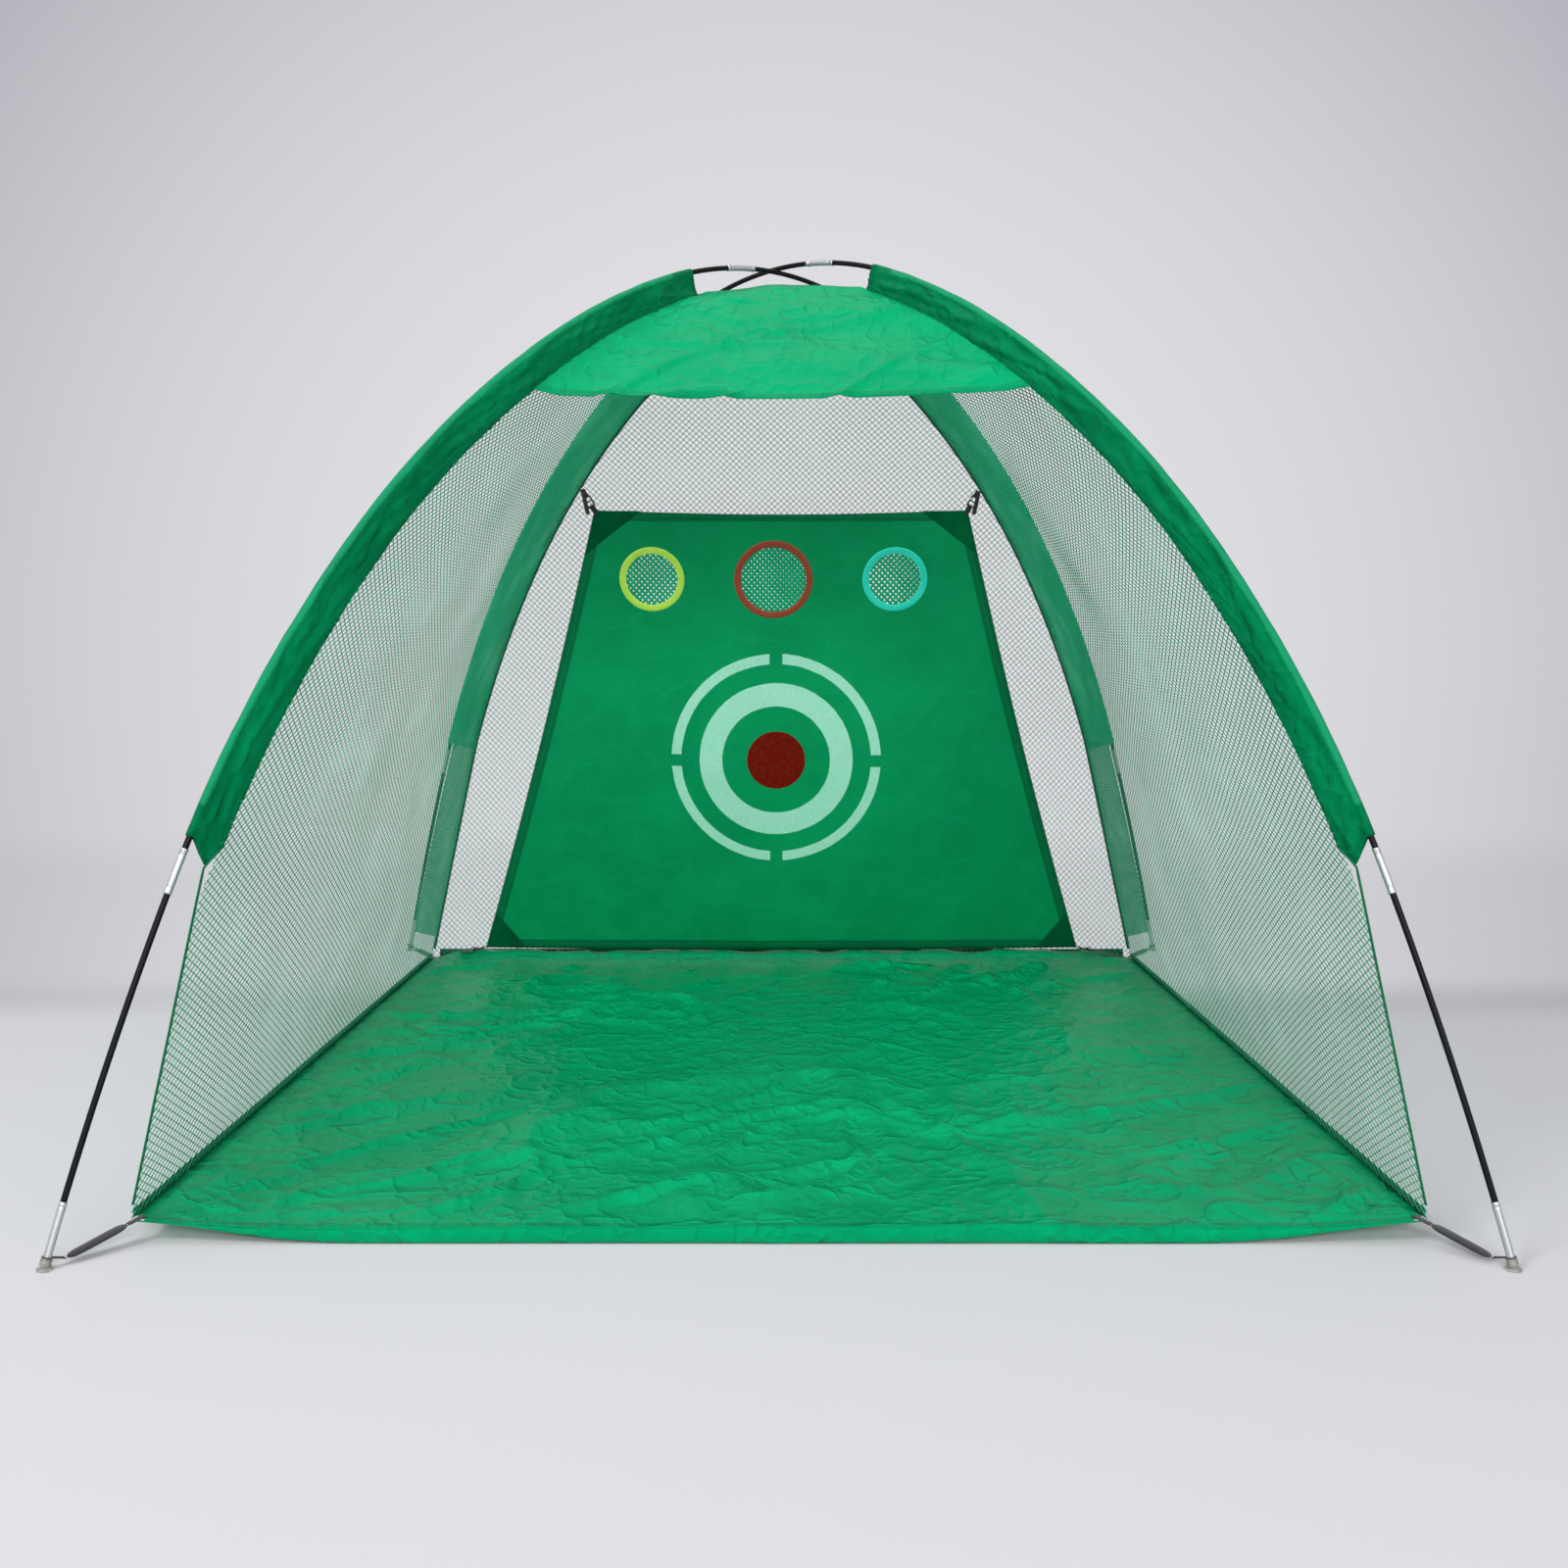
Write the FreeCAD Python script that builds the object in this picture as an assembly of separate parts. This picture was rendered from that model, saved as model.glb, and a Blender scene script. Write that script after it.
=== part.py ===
import FreeCAD, Part
import math
import os

# A dome net for chipping practice. Two springy poles cross over a square
# footprint and hold a fabric and net skin, a ground mat and a hung target sheet.
# Millimetres. X runs left to right, +Y away from the player, +Z up.
# The origin is on the floor under the crossing of the poles.

# Footprint and height
foot_half_width = 1000.0
foot_half_depth = 1000.0
crossing_height = 1543.0

# Poles
pole_diameter = 9.0
pole_cross_gap = 0.6
pole_run_turn = 5.5  # degrees; a bend is drawn as straight runs this far apart
shortest_run = 1.0
run_overreach = 25.0
mitre_reach = 100.0
pole_bends = [(2, 5.34), (2, 14.63), (2, 18.58), (1, 12.42), (1, 20.96)]  # length share, turn share
least_lean = 12.0  # degrees
most_lean = 110.0
lean_trials = 60
joints_each_way = 3
end_section_length = 559.0
middle_joint_offset = 106.0
section_end_gap = 0.4

# Metal tubes on the poles
ferrule_length = 68.0
ferrule_diameter = 10.6
straight_margin = 4.0  # how far a straight run goes past a metal tube
tube_running_gap = 0.05
end_tube_length = 88.0
end_tube_diameter = 11.0

# Foot caps
cap_base_radius = 11.0
cap_base_height = 3.5
cap_collar_length = 11.0
cap_collar_sink = 2.0
cap_wall = 2.0
cap_running_gap = 0.1
pole_end_height = 5.2

# Pole sleeves
sleeve_start = 611.0
sleeve_end = 1985.0
sleeve_wall = 1.2
sleeve_gap = 0.3
pocket_sides = 8
front_sleeve_width = 50.0
rear_sleeve_width = 62.0
sleeve_tail_length = 34.0
sleeve_tail_share = 0.72
sleeve_tail_overlap = 0.5
front_sleeve_turn = 6.0
rear_sleeve_turn = 50.0

# Sheets of net and cloth
net_thickness = 1.0
cloth_thickness = 1.2
seam_gap = 0.4
seam_step = 1.6
canopy_start = 1545.0
canopy_strip_step = 3
wall_strips = 10
trim_reach = 20.0
trim_side = 5.0
corner_notch_width = 10.0
corner_notch_height = 8.0

# Ground mat
mat_half_width = 920.0
mat_half_depth = 912.0
mat_front_lift = 32.0
mat_floor_gap = 1.0
mat_sag_depth = 330.0
mat_side_sag = 190.0
mat_middle_lift = 22.0
mat_corner_cut = 14.0
mat_fold_share = 0.4
mat_sag_rows = 3
mat_thickness = 1.5

# Tapes sewn over the edges of the nets and the mat
tape_thickness = 1.0
front_tape_width = 9.0
corner_tape_width = 11.0
binding_height = 12.0
binding_inset = 24.0

# Target sheet
sheet_bottom_half = 765.0
sheet_top_half = 430.0
sheet_bottom_y = 850.0
sheet_bottom_z = 42.0
sheet_top_y = 535.0
sheet_top_z = 1135.0
sheet_thickness = 1.5
window_height = 977.0
window_spacing = 284.0
window_shift = -18.0
side_window_radius = 62.0
middle_window_radius = 78.0
window_ring_width = 14.0
window_ring_thickness = 0.8
window_net_thickness = 0.8
window_net_pitch = 31.0
window_net_cord = 3.2
window_net_tuck = 1.0
cutter_reach = 1.0
patch_length = 105.0
patch_thickness = 0.8

# Hooks and straps at the corners of the sheet
hook_width = 20.0
hook_length = 27.0
hook_bar = 2.6
hook_slot_length = 14.0
hook_mouth = 4.0
corner_reach = 0.1  # how near a corner's edge lies to the outline
strap_wall = 1.2
strap_gap = 0.75
strap_width = 11.0
sheet_loop_length = 9.0
loop_cut_reach = 20.0
top_anchor_at = 1410.0
top_strap_standoff = 9.5
anchor_step = 5.0
bottom_anchor_inset = 12.0

# Corner ties between the mat and the feet
tie_ring_at = 12.0
tie_band_thickness = 1.4
tie_band_width = 3.0
tie_ring_gap = 0.3
tie_loop_length = 26.0
pull_tab_width = 20.0
pull_tab_thickness = 7.0
pull_tab_lift = 0.7
corner_strap_length = 16.0
corner_strap_width = 12.0
corner_strap_thickness = 1.2

up = FreeCAD.Vector(0, 0, 1)
outward = FreeCAD.Vector(-1, 0, 0)  # out of the left wall
rearward = FreeCAD.Vector(0, 1, 0)
pole_radius = pole_diameter / 2
pocket_radius = ferrule_diameter / 2 + sleeve_gap
half_span = math.hypot(foot_half_width, foot_half_depth)
tiny = 1e-6


class Pole:
    """One bent pole in a vertical plane, from its front foot to its far rear foot."""

    def __init__(self, rise):
        self.inward = FreeCAD.Vector(foot_half_width, foot_half_depth, 0).normalize()
        self.across = self.inward.cross(up)
        self.foot = FreeCAD.Vector(-foot_half_width, -foot_half_depth, pole_end_height)
        lean, scale = fit_bend(half_span, rise - pole_end_height)
        half = [(scale * share, lean * turn) for share, turn in bend_shares()]
        self.arcs = []
        at, r, z, angle = 0.0, 0.0, 0.0, lean
        for length, turn in half + half[::-1]:
            radius = length / turn
            self.arcs.append((at, length, radius, r, z, angle))
            r += radius * (math.sin(angle) - math.sin(angle - turn))
            z += radius * (math.cos(angle - turn) - math.cos(angle))
            angle -= turn
            at += length
        self.length = at
        self.stops = self.run_ends()

    def on_bend(self, at):
        """Point and direction angle of the smooth bend at a distance along it."""
        start, length, radius, r, z, angle = [a for a in self.arcs if a[0] <= at + tiny][-1]
        now = angle - (at - start) / radius
        r += radius * (math.sin(angle) - math.sin(now))
        z += radius * (math.cos(now) - math.cos(angle))
        return self.foot + self.inward * r + up * z, now

    def joints(self):
        """Where sections meet: the end sections are alike and the others share what is left."""
        middle = self.length / 2 - middle_joint_offset
        back_end = self.length - end_section_length
        shares = [k / joints_each_way for k in range(joints_each_way + 1)]
        front = [end_section_length + (middle - end_section_length) * share for share in shares[:-1]]
        return front + [middle + (back_end - middle) * share for share in shares]

    def run_ends(self):
        """Ends of the straight runs: one run in each metal tube, short ones over the bends between."""
        half = ferrule_length / 2 + straight_margin
        straight = [(0.0, end_tube_length + straight_margin)]
        straight += [(joint - half, joint + half) for joint in self.joints()]
        straight += [(self.length - end_tube_length - straight_margin, self.length)]
        stops = [0.0]
        for (low, high), (after, last) in zip(straight, straight[1:]):
            turn = math.degrees(self.on_bend(high)[1] - self.on_bend(after)[1])
            count = max(1, round(turn / pole_run_turn))
            stops += [high + (after - high) * k / count for k in range(count + 1)]
        return stops + [self.length]

    def frame(self, at):
        """Point, direction and inward normal at a distance along the straight runs."""
        k = max(k for k in range(len(self.stops) - 1) if self.stops[k] <= at + tiny)
        low, high = self.stops[k], self.stops[k + 1]
        start, end = self.on_bend(low)[0], self.on_bend(high)[0]
        along = (end - start).normalize()
        point = start + (end - start) * ((at - low) / (high - low))
        return point, along, self.across.cross(along) * -1

    def sweep(self, outline, start, end):
        """Solid of a closed outline, drawn by outline(point, normal, along), carried along the runs."""
        inner = [at for at in self.stops if start + shortest_run < at < end - shortest_run]
        stops = [start] + inner + [end]
        last = len(stops) - 2
        runs = []
        for k in range(len(stops) - 1):
            middle = (stops[k] + stops[k + 1]) / 2
            point, along, normal = self.frame(middle)
            reach = (stops[k + 1] - stops[k]) / 2 + run_overreach
            face = holed_face(outline(point - along * reach, normal, along))
            slab = self.mitred_slab(stops[k], stops[k + 1], k == 0, k == last)
            runs.append(face.extrude(along * (2 * reach)).common(slab))
        solid = runs[0]
        if len(runs) > 1:
            solid = solid.fuse(runs[1:])
        return solid.Solids[0]

    def mitred_slab(self, low, high, first, last):
        """Block round one run, cut square at the ends of the piece and at half the turn elsewhere."""
        point, along, normal = self.frame((low + high) / 2)
        rims = []
        for at, square, beyond, order in ((low, first, -1, (-1, 1)), (high, last, 1, (1, -1))):
            mean = along if square else along + self.frame(at + beyond)[1]
            mitre = (self.across.cross(mean) * -1).normalize()
            rims += [self.frame(at)[0] + mitre * (k * mitre_reach) for k in order]
        slab = Part.Face(Part.makePolygon(rims + rims[:1]))
        slab.translate(self.across * -mitre_reach)
        return slab.extrude(self.across * (2 * mitre_reach))


def bend_shares():
    lengths = sum(share for share, turn in pole_bends)
    turns = sum(turn for share, turn in pole_bends)
    return [(share / lengths, turn / turns) for share, turn in pole_bends]


def fit_bend(span, rise):
    """Foot lean and half length of the pole that reach the crossing over the span."""
    low, high = math.radians(least_lean), math.radians(most_lean)
    for trial in range(lean_trials):
        lean = (low + high) / 2
        r = z = 0.0
        angle = lean
        for share, turn in bend_shares():
            radius = share / (turn * lean)
            r += radius * (math.sin(angle) - math.sin(angle - turn * lean))
            z += radius * (math.cos(angle - turn * lean) - math.cos(angle))
            angle -= turn * lean
        if z / r < rise / span:
            low = lean
        else:
            high = lean
    return lean, span / r


def holed_face(wires):
    return Part.makeFace(wires, "Part::FaceMakerBullseye")


def round_outline(*radii):
    def draw(point, normal, along):
        return [Part.Wire(Part.makeCircle(radius, point, along)) for radius in radii]
    return draw


def sleeve_outline(turn, side, width):
    """A pocket of flat sides round the pole with a flap, turned out of the pole's plane."""
    outer = pocket_radius + sleeve_wall
    half = sleeve_wall / 2
    angles = [2 * math.pi * (k + 0.5) / pocket_sides for k in range(pocket_sides)]
    spread = math.cos(math.pi / pocket_sides)
    ring = [(math.cos(angle) / spread, math.sin(angle) / spread) for angle in angles]

    def draw(point, normal, along):
        flap = flap_direction(normal, along, turn, side)
        edge = flap.cross(along)
        tab = [(outer, -half), (width, -half), (width, half), (outer, half)]
        rim = [(a * outer, b * outer) for a, b in ring] + tab
        pocket = [(a * pocket_radius, b * pocket_radius) for a, b in ring]
        loops = [[point + flap * a + edge * b for a, b in loop] for loop in (rim, pocket)]
        return [Part.makePolygon(loop + loop[:1]) for loop in loops]
    return draw


def flap_direction(normal, along, turn, side):
    lean = math.radians(turn)
    return normal * math.cos(lean) + along.cross(normal) * (side * math.sin(lean))


def flip(shape):
    return shape.mirror(FreeCAD.Vector(0, 0, 0), FreeCAD.Vector(1, 0, 0))


def stay(shape):
    return shape


def flip_point(point):
    return FreeCAD.Vector(-point.x, point.y, point.z)


def save(name, *solids):
    shape = solids[0] if len(solids) == 1 else Part.makeCompound(list(solids))
    shape.exportStep("parts/" + name + ".step")
    print(name, len(shape.Solids), round(shape.Volume), shape.isValid())


left_pole = Pole(crossing_height)
right_pole = Pole(crossing_height + pole_diameter + pole_cross_gap)


def make_poles():
    inside = pole_radius + tube_running_gap
    tubes, caps = [], []
    for pole, place, name in ((left_pole, stay, "left"), (right_pole, flip, "right")):
        joints = pole.joints()
        ends = [0.0] + joints + [pole.length]
        for k in range(len(ends) - 1):
            rod = pole.sweep(round_outline(pole_radius), ends[k] + section_end_gap / 2,
                             ends[k + 1] - section_end_gap / 2)
            save(f"{name}_pole_section_{k + 1}", place(rod))
        half = ferrule_length / 2
        collar = round_outline(ferrule_diameter / 2, inside)
        ferrules = [place(pole.sweep(collar, joint - half, joint + half)) for joint in joints]
        save(f"{name}_pole_ferrules", *ferrules)
        for end, low, high in (("front", 0.0, end_tube_length),
                               ("rear", pole.length - end_tube_length, pole.length)):
            tubes.append(place(pole.sweep(round_outline(end_tube_diameter / 2, inside), low, high)))
            caps.append(place(make_foot_cap(pole, end)))
    save("pole_end_tubes", *tubes)
    save("foot_caps", *caps)


def make_foot_cap(pole, end):
    """A clear cap: a round base on the floor and a leaning collar round the tube's end."""
    at = 0.0 if end == "front" else pole.length
    point, along, normal = pole.frame(at)
    if end == "rear":
        along = along * -1
    bore = end_tube_diameter / 2 + cap_running_gap
    base = Part.makeCylinder(cap_base_radius, cap_base_height, FreeCAD.Vector(point.x, point.y, 0), up)
    collar = Part.makeCylinder(bore + cap_wall, cap_collar_length, point - along * cap_collar_sink, along)
    drilled = Part.makeCylinder(bore, cap_collar_length * 2, point, along)
    return base.fuse(collar).cut(drilled).removeSplitter().Solids[0]


def front_edge(pole, at, reach=front_sleeve_width + seam_gap):
    """A point beyond the sewn edge of a front sleeve's flap."""
    point, along, normal = pole.frame(at)
    return point + flap_direction(normal, along, front_sleeve_turn, -1) * reach


def rear_edge(pole, at, reach=rear_sleeve_width + seam_gap):
    point, along, normal = pole.frame(pole.length - at)
    return point + flap_direction(normal, along, rear_sleeve_turn, 1) * reach


def stations(start, end):
    return [start + (end - start) * k / wall_strips for k in range(wall_strips + 1)]


def mat_corner(side, end, height):
    return FreeCAD.Vector(side * mat_half_width, end * mat_half_depth, height)


def make_sleeves():
    front_outline = sleeve_outline(front_sleeve_turn, -1, front_sleeve_width)
    rear_outline = sleeve_outline(rear_sleeve_turn, 1, rear_sleeve_width)
    for pole, place, name, far in ((left_pole, stay, "left", "right"), (right_pole, flip, "right", "left")):
        front = pole.sweep(front_outline, sleeve_start, sleeve_end)
        front = front.fuse(make_sleeve_tail(pole)).removeSplitter().Solids[0]
        save(f"front_{name}_sleeve", place(front))
        rear = pole.sweep(rear_outline, pole.length - sleeve_end, pole.length - sleeve_start)
        save(f"rear_{far}_sleeve", place(rear))


def make_sleeve_tail(pole):
    """The flap's pointed lower end, which runs out into the front hem of the side net."""
    point, along, normal = pole.frame(sleeve_start)
    flap = flap_direction(normal, along, front_sleeve_turn, -1)
    half = flap.cross(along) * (sleeve_wall / 2)
    root = point + along * sleeve_tail_overlap
    inner_side = pocket_radius + sleeve_wall / 2
    tips = [root + flap * inner_side, root + flap * front_sleeve_width, tail_tip(pole, 0)]
    tips = [tip - half for tip in tips]
    return Part.Face(Part.makePolygon(tips + tips[:1])).extrude(half * 2)


def tail_tip(pole, extra=seam_gap):
    point, along, normal = pole.frame(sleeve_start)
    flap = flap_direction(normal, along, front_sleeve_turn, -1)
    return point + flap * (front_sleeve_width * sleeve_tail_share + extra) - along * sleeve_tail_length


def sheet_between(first, second, thickness):
    """A thin solid between two rows of points, in flat triangles."""
    pieces = []
    for k in range(len(first) - 1):
        for corners in ((first[k], first[k + 1], second[k]), (second[k], first[k + 1], second[k + 1])):
            pieces.append(Part.Face(Part.makePolygon(list(corners) + [corners[0]])).extrude(thickness))
    return pieces[0].fuse(pieces[1:]).Solids[0]


def mat_height(x, y):
    """Underside of the mat: its sides are pulled straight and it sags to the floor between them."""
    way = (y + mat_half_depth) / (2 * mat_half_depth)
    side = mat_front_lift * (1 - way)
    middle = mat_middle_lift * max(0.0, 1 - (y + mat_half_depth) / mat_sag_depth) ** 2
    reach = max(0.0, 1 - (mat_half_width - abs(x)) / mat_side_sag) ** 2
    return mat_floor_gap + middle + (side - middle) * reach


def below_mat():
    """What a wall loses at its foot: the space up to the mat's side, and a notch at each corner."""
    lift = mat_thickness + seam_gap
    low, high = [mat_height(mat_half_width, end * mat_half_depth) + lift for end in (1, -1)]
    front, back = -mat_half_depth - trim_reach, mat_half_depth + trim_reach
    rise = (low - high) / (2 * mat_half_depth) * trim_reach
    sides = [(front, -trim_reach), (back, -trim_reach), (back, low + rise), (front, high - rise)]
    corners = [FreeCAD.Vector(-mat_half_width - trim_side, y, z) for y, z in sides]
    outline = Part.makePolygon(corners + corners[:1])
    cutter = Part.Face(outline).extrude(FreeCAD.Vector(2 * (mat_half_width + trim_side), 0, 0))
    posts = []
    for side in (-1, 1):
        for end, top in ((-1, high), (1, low)):
            width = corner_notch_width
            x, y = side * mat_half_width - width, end * mat_half_depth - width
            posts.append(block(x, y, 0, 2 * width, 2 * width, top + corner_notch_height))
    return cutter.fuse(posts)


def make_side_nets():
    inset = FreeCAD.Vector(0, seam_step, 0)
    trim = below_mat()
    walls = ((-1, left_pole, right_pole, "left"), (1, right_pole, left_pole, "right"))
    for side, front_pole, rear_pole, name in walls:
        rows = stations(sleeve_start, sleeve_end)
        front = [tail_tip(front_pole)] + [front_edge(front_pole, at) for at in rows]
        rear = [rear_edge(rear_pole, at) for at in rows]
        if side > 0:
            front = [flip_point(p) for p in front]
        else:
            rear = [flip_point(p) for p in rear]
        front = [mat_corner(side, -1, 0)] + front
        foot = mat_corner(side, 1, 0)
        rear = [foot, rear[0] + (foot - rear[0]) * (sleeve_tail_length / (rear[0] - foot).Length)] + rear
        inward = FreeCAD.Vector(-side * net_thickness, 0, 0)
        wall = sheet_between([p + inset for p in front], [p - inset for p in rear], inward)
        save(f"{name}_side_net", wall.cut(trim).Solids[0])


def make_rear_net():
    step = FreeCAD.Vector(0, seam_step, 0)
    rows = [[flip_point(rear_edge(right_pole, at)) for at in stations(sleeve_start, sleeve_end)],
            [rear_edge(left_pole, at) for at in stations(sleeve_start, sleeve_end)]]
    left, right = [[mat_corner(side, 1, 0)] + row for side, row in zip((-1, 1), rows)]
    back = FreeCAD.Vector(0, net_thickness, 0)
    wall = sheet_between([p + step for p in left], [p + step for p in right], back)
    save("rear_net", wall.cut(below_mat()).Solids[0])


def make_tapes():
    """Tapes over the open front edges and the rear corners of the nets, and over the mat's sides."""
    front, corner, mat = [], [], []
    lift = mat_thickness + seam_gap
    front_height = mat_height(mat_half_width, -mat_half_depth) + lift
    rear_height = mat_height(mat_half_width, mat_half_depth) + lift
    edge = -mat_half_width - seam_gap
    for front_pole, rear_pole, place in ((left_pole, right_pole, stay), (right_pole, left_pole, flip)):
        start, end = from_height(mat_corner(-1, -1, 0), tail_tip(front_pole, 0), front_height)
        length = (end - start).Length - 2 * corner_notch_height
        tape = block(corner_notch_height, seam_step / 2 - front_tape_width, -net_thickness,
                     length, front_tape_width, tape_thickness)
        front.append(place(put(tape, line_frame(start, end, outward))))
        top = flip_point(rear_edge(rear_pole, sleeve_start))
        start, end = from_height(mat_corner(-1, 1, 0), top, rear_height)
        length = (end - start).Length - corner_notch_height - 2 * seam_gap
        tape = block(corner_notch_height + seam_gap, -corner_tape_width,
                     seam_step - seam_gap - tape_thickness, length, corner_tape_width, tape_thickness)
        corner.append(place(put(tape, line_frame(start, end, rearward))))
        near, far = [FreeCAD.Vector(edge, y, mat_height(edge, y)) for y in
                     (binding_inset - mat_half_depth, mat_half_depth - binding_inset)]
        strip = block(0, 0, 0, (far - near).Length, binding_height, tape_thickness)
        mat.append(place(put(strip, line_frame(far, near, outward))))
    save("net_front_tapes", *front)
    save("net_corner_tapes", *corner)
    save("mat_bindings", *mat)


def from_height(foot, top, height):
    """The ends of a sloping edge, cut off at a height above its foot."""
    return foot + (top - foot) * ((height - foot.z) / (top.z - foot.z)), top


def make_canopy():
    step = FreeCAD.Vector(0, seam_step, 0)
    left = [front_edge(left_pole, at) - step for at in stations(canopy_start, sleeve_end)]
    right = [flip_point(front_edge(right_pole, at)) - step for at in stations(canopy_start, sleeve_end)]
    left, right = left[::canopy_strip_step], right[::canopy_strip_step]
    save("front_canopy", sheet_between(left, right, FreeCAD.Vector(0, -cloth_thickness, 0)))


def make_ground_mat():
    across = [0.0, mat_fold_share * mat_half_width, mat_half_width - mat_side_sag]
    across += [mat_half_width - mat_side_sag / 2, mat_half_width - mat_corner_cut, mat_half_width]
    across = [-x for x in across[:0:-1]] + across
    along = [-mat_half_depth, -mat_half_depth + mat_corner_cut]
    along += [-mat_half_depth + mat_sag_depth * (k + 1) / mat_sag_rows for k in range(mat_sag_rows)]
    along += [0.0, mat_half_depth - mat_corner_cut, mat_half_depth]
    last = len(across) - 2
    pieces = []
    for k in range(len(across) - 1):
        for j in range(len(along) - 1):
            corners = [FreeCAD.Vector(x, y, mat_height(x, y))
                       for x, y in ((across[k], along[j]), (across[k + 1], along[j]),
                                    (across[k + 1], along[j + 1]), (across[k], along[j + 1]))]
            if k in (0, last) and j in (0, len(along) - 2):
                outer = {(0, True): 0, (last, True): 1, (last, False): 2, (0, False): 3}[k, j == 0]
                tiles = [[c for n, c in enumerate(corners) if n != outer]]
            elif (k <= last // 2) == (j == 0):
                tiles = [corners[:3], [corners[0], corners[2], corners[3]]]
            else:
                tiles = [[corners[0], corners[1], corners[3]], corners[1:]]
            for tile in tiles:
                pieces.append(Part.Face(Part.makePolygon(tile + tile[:1])).extrude(up * mat_thickness))
    save("ground_mat", pieces[0].fuse(pieces[1:]).removeSplitter().Solids[0])


sheet_base = FreeCAD.Vector(0, sheet_bottom_y, sheet_bottom_z)
sheet_rise = FreeCAD.Vector(0, sheet_top_y - sheet_bottom_y, sheet_top_z - sheet_bottom_z)
sheet_height = sheet_rise.Length
sheet_up = FreeCAD.Vector(sheet_rise).normalize()
sheet_front = FreeCAD.Vector(1, 0, 0).cross(sheet_up)
sheet_tilt = math.degrees(math.atan2(sheet_rise.z, sheet_rise.y))
sheet_place = FreeCAD.Placement(sheet_base, FreeCAD.Rotation(FreeCAD.Vector(1, 0, 0), sheet_tilt))
windows = [("left", window_shift - window_spacing, side_window_radius),
           ("middle", window_shift, middle_window_radius),
           ("right", window_shift + window_spacing, side_window_radius)]


def on_sheet(shape):
    shape.Placement = sheet_place.multiply(shape.Placement)
    return shape


def sheet_point(u, v, w=0.0):
    return sheet_place.multVec(FreeCAD.Vector(u, v, w))


def plate(points, low, thickness):
    corners = [FreeCAD.Vector(x, y, low) for x, y in points]
    return Part.Face(Part.makePolygon(corners + corners[:1])).extrude(up * thickness)


def make_target_sheet():
    corners = [(-sheet_bottom_half, 0), (sheet_bottom_half, 0),
               (sheet_top_half, sheet_height), (-sheet_top_half, sheet_height)]
    cloth = plate(corners, 0, sheet_thickness)
    for name, x, radius in windows:
        centre = FreeCAD.Vector(x, window_height, -cutter_reach)
        cloth = cloth.cut(Part.makeCylinder(radius, sheet_thickness + 2 * cutter_reach, centre, up))
    save("target_sheet", on_sheet(cloth.Solids[0]))
    for name, x, radius in windows:
        centre = FreeCAD.Vector(x, window_height, sheet_thickness)
        ring = Part.makeCylinder(radius + window_ring_width, window_ring_thickness, centre, up)
        low, deep = centre - up * cutter_reach, window_ring_thickness + 2 * cutter_reach
        ring = ring.cut(Part.makeCylinder(radius, deep, low, up))
        save(f"{name}_window_ring", on_sheet(ring.Solids[0]))
        save(f"{name}_window_net", on_sheet(make_window_net(x, radius)))
    save("corner_patches", *[on_sheet(patch) for patch in corner_patches(corners)])


def make_window_net(x, radius):
    """A disc of diamond net, one holed face, sewn behind its window."""
    outer = radius + window_ring_width - window_net_tuck
    low = -window_net_thickness
    rim = Part.Wire(Part.makeCircle(outer, FreeCAD.Vector(x, window_height, low), up))
    half = (window_net_pitch - window_net_cord) / 2
    reach = int(radius / window_net_pitch) + 1
    holes = []
    for row in range(-2 * reach, 2 * reach + 1):
        for column in range(-reach, reach + 1):
            u = window_net_pitch * (column + (row % 2) / 2)
            v = window_net_pitch * row / 2
            if math.hypot(u, v) + half > radius:
                continue
            tips = [(u + half, v), (u, v + half), (u - half, v), (u, v - half)]
            corners = [FreeCAD.Vector(x + a, window_height + b, low) for a, b in tips]
            holes.append(Part.makePolygon(corners + corners[:1]))
    return holed_face([rim] + holes).extrude(up * window_net_thickness)


def corner_patches(corners):
    """Triangles of doubled cloth behind the corners of the sheet."""
    patches = []
    for k in range(4):
        corner = FreeCAD.Vector(*corners[k], 0)
        ways = [FreeCAD.Vector(*corners[(k + step) % 4], 0) - corner for step in (1, 3)]
        tips = [corner + way.normalize() * patch_length for way in ways]
        outline = [(p.x, p.y) for p in [corner] + tips]
        patches.append(plate(outline, -patch_thickness, patch_thickness))
    return patches


def line_frame(start, end, face):
    """A placement with X from start to end and Z as near to the face direction as it can be."""
    x = (end - start).normalize()
    y = face.cross(x).normalize()
    return FreeCAD.Placement(start, FreeCAD.Rotation(x, y, x.cross(y), "ZXY"))


def put(shape, placement):
    shape.Placement = placement.multiply(shape.Placement)
    return shape


def block(x, y, z, dx, dy, dz):
    return Part.makeBox(dx, dy, dz, FreeCAD.Vector(x, y, z))


def racetrack(start, end, radius):
    """Two straight sides in the XZ plane joined by half circles."""
    top = [FreeCAD.Vector(start, 0, radius), FreeCAD.Vector(end, 0, radius)]
    low = [FreeCAD.Vector(end, 0, -radius), FreeCAD.Vector(start, 0, -radius)]
    nose = Part.Arc(top[1], FreeCAD.Vector(end + radius, 0, 0), low[0]).toShape()
    tail = Part.Arc(low[1], FreeCAD.Vector(start - radius, 0, 0), top[0]).toShape()
    return Part.Wire([Part.makeLine(*top), nose, Part.makeLine(*low), tail])


def band(start, end, width, inner):
    """A flat strap doubled into a long loop, its bights round two bars."""
    face = holed_face([racetrack(start, end, inner + strap_wall), racetrack(start, end, inner)])
    face.translate(FreeCAD.Vector(0, -width / 2, 0))
    return face.extrude(FreeCAD.Vector(0, width, 0))


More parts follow.
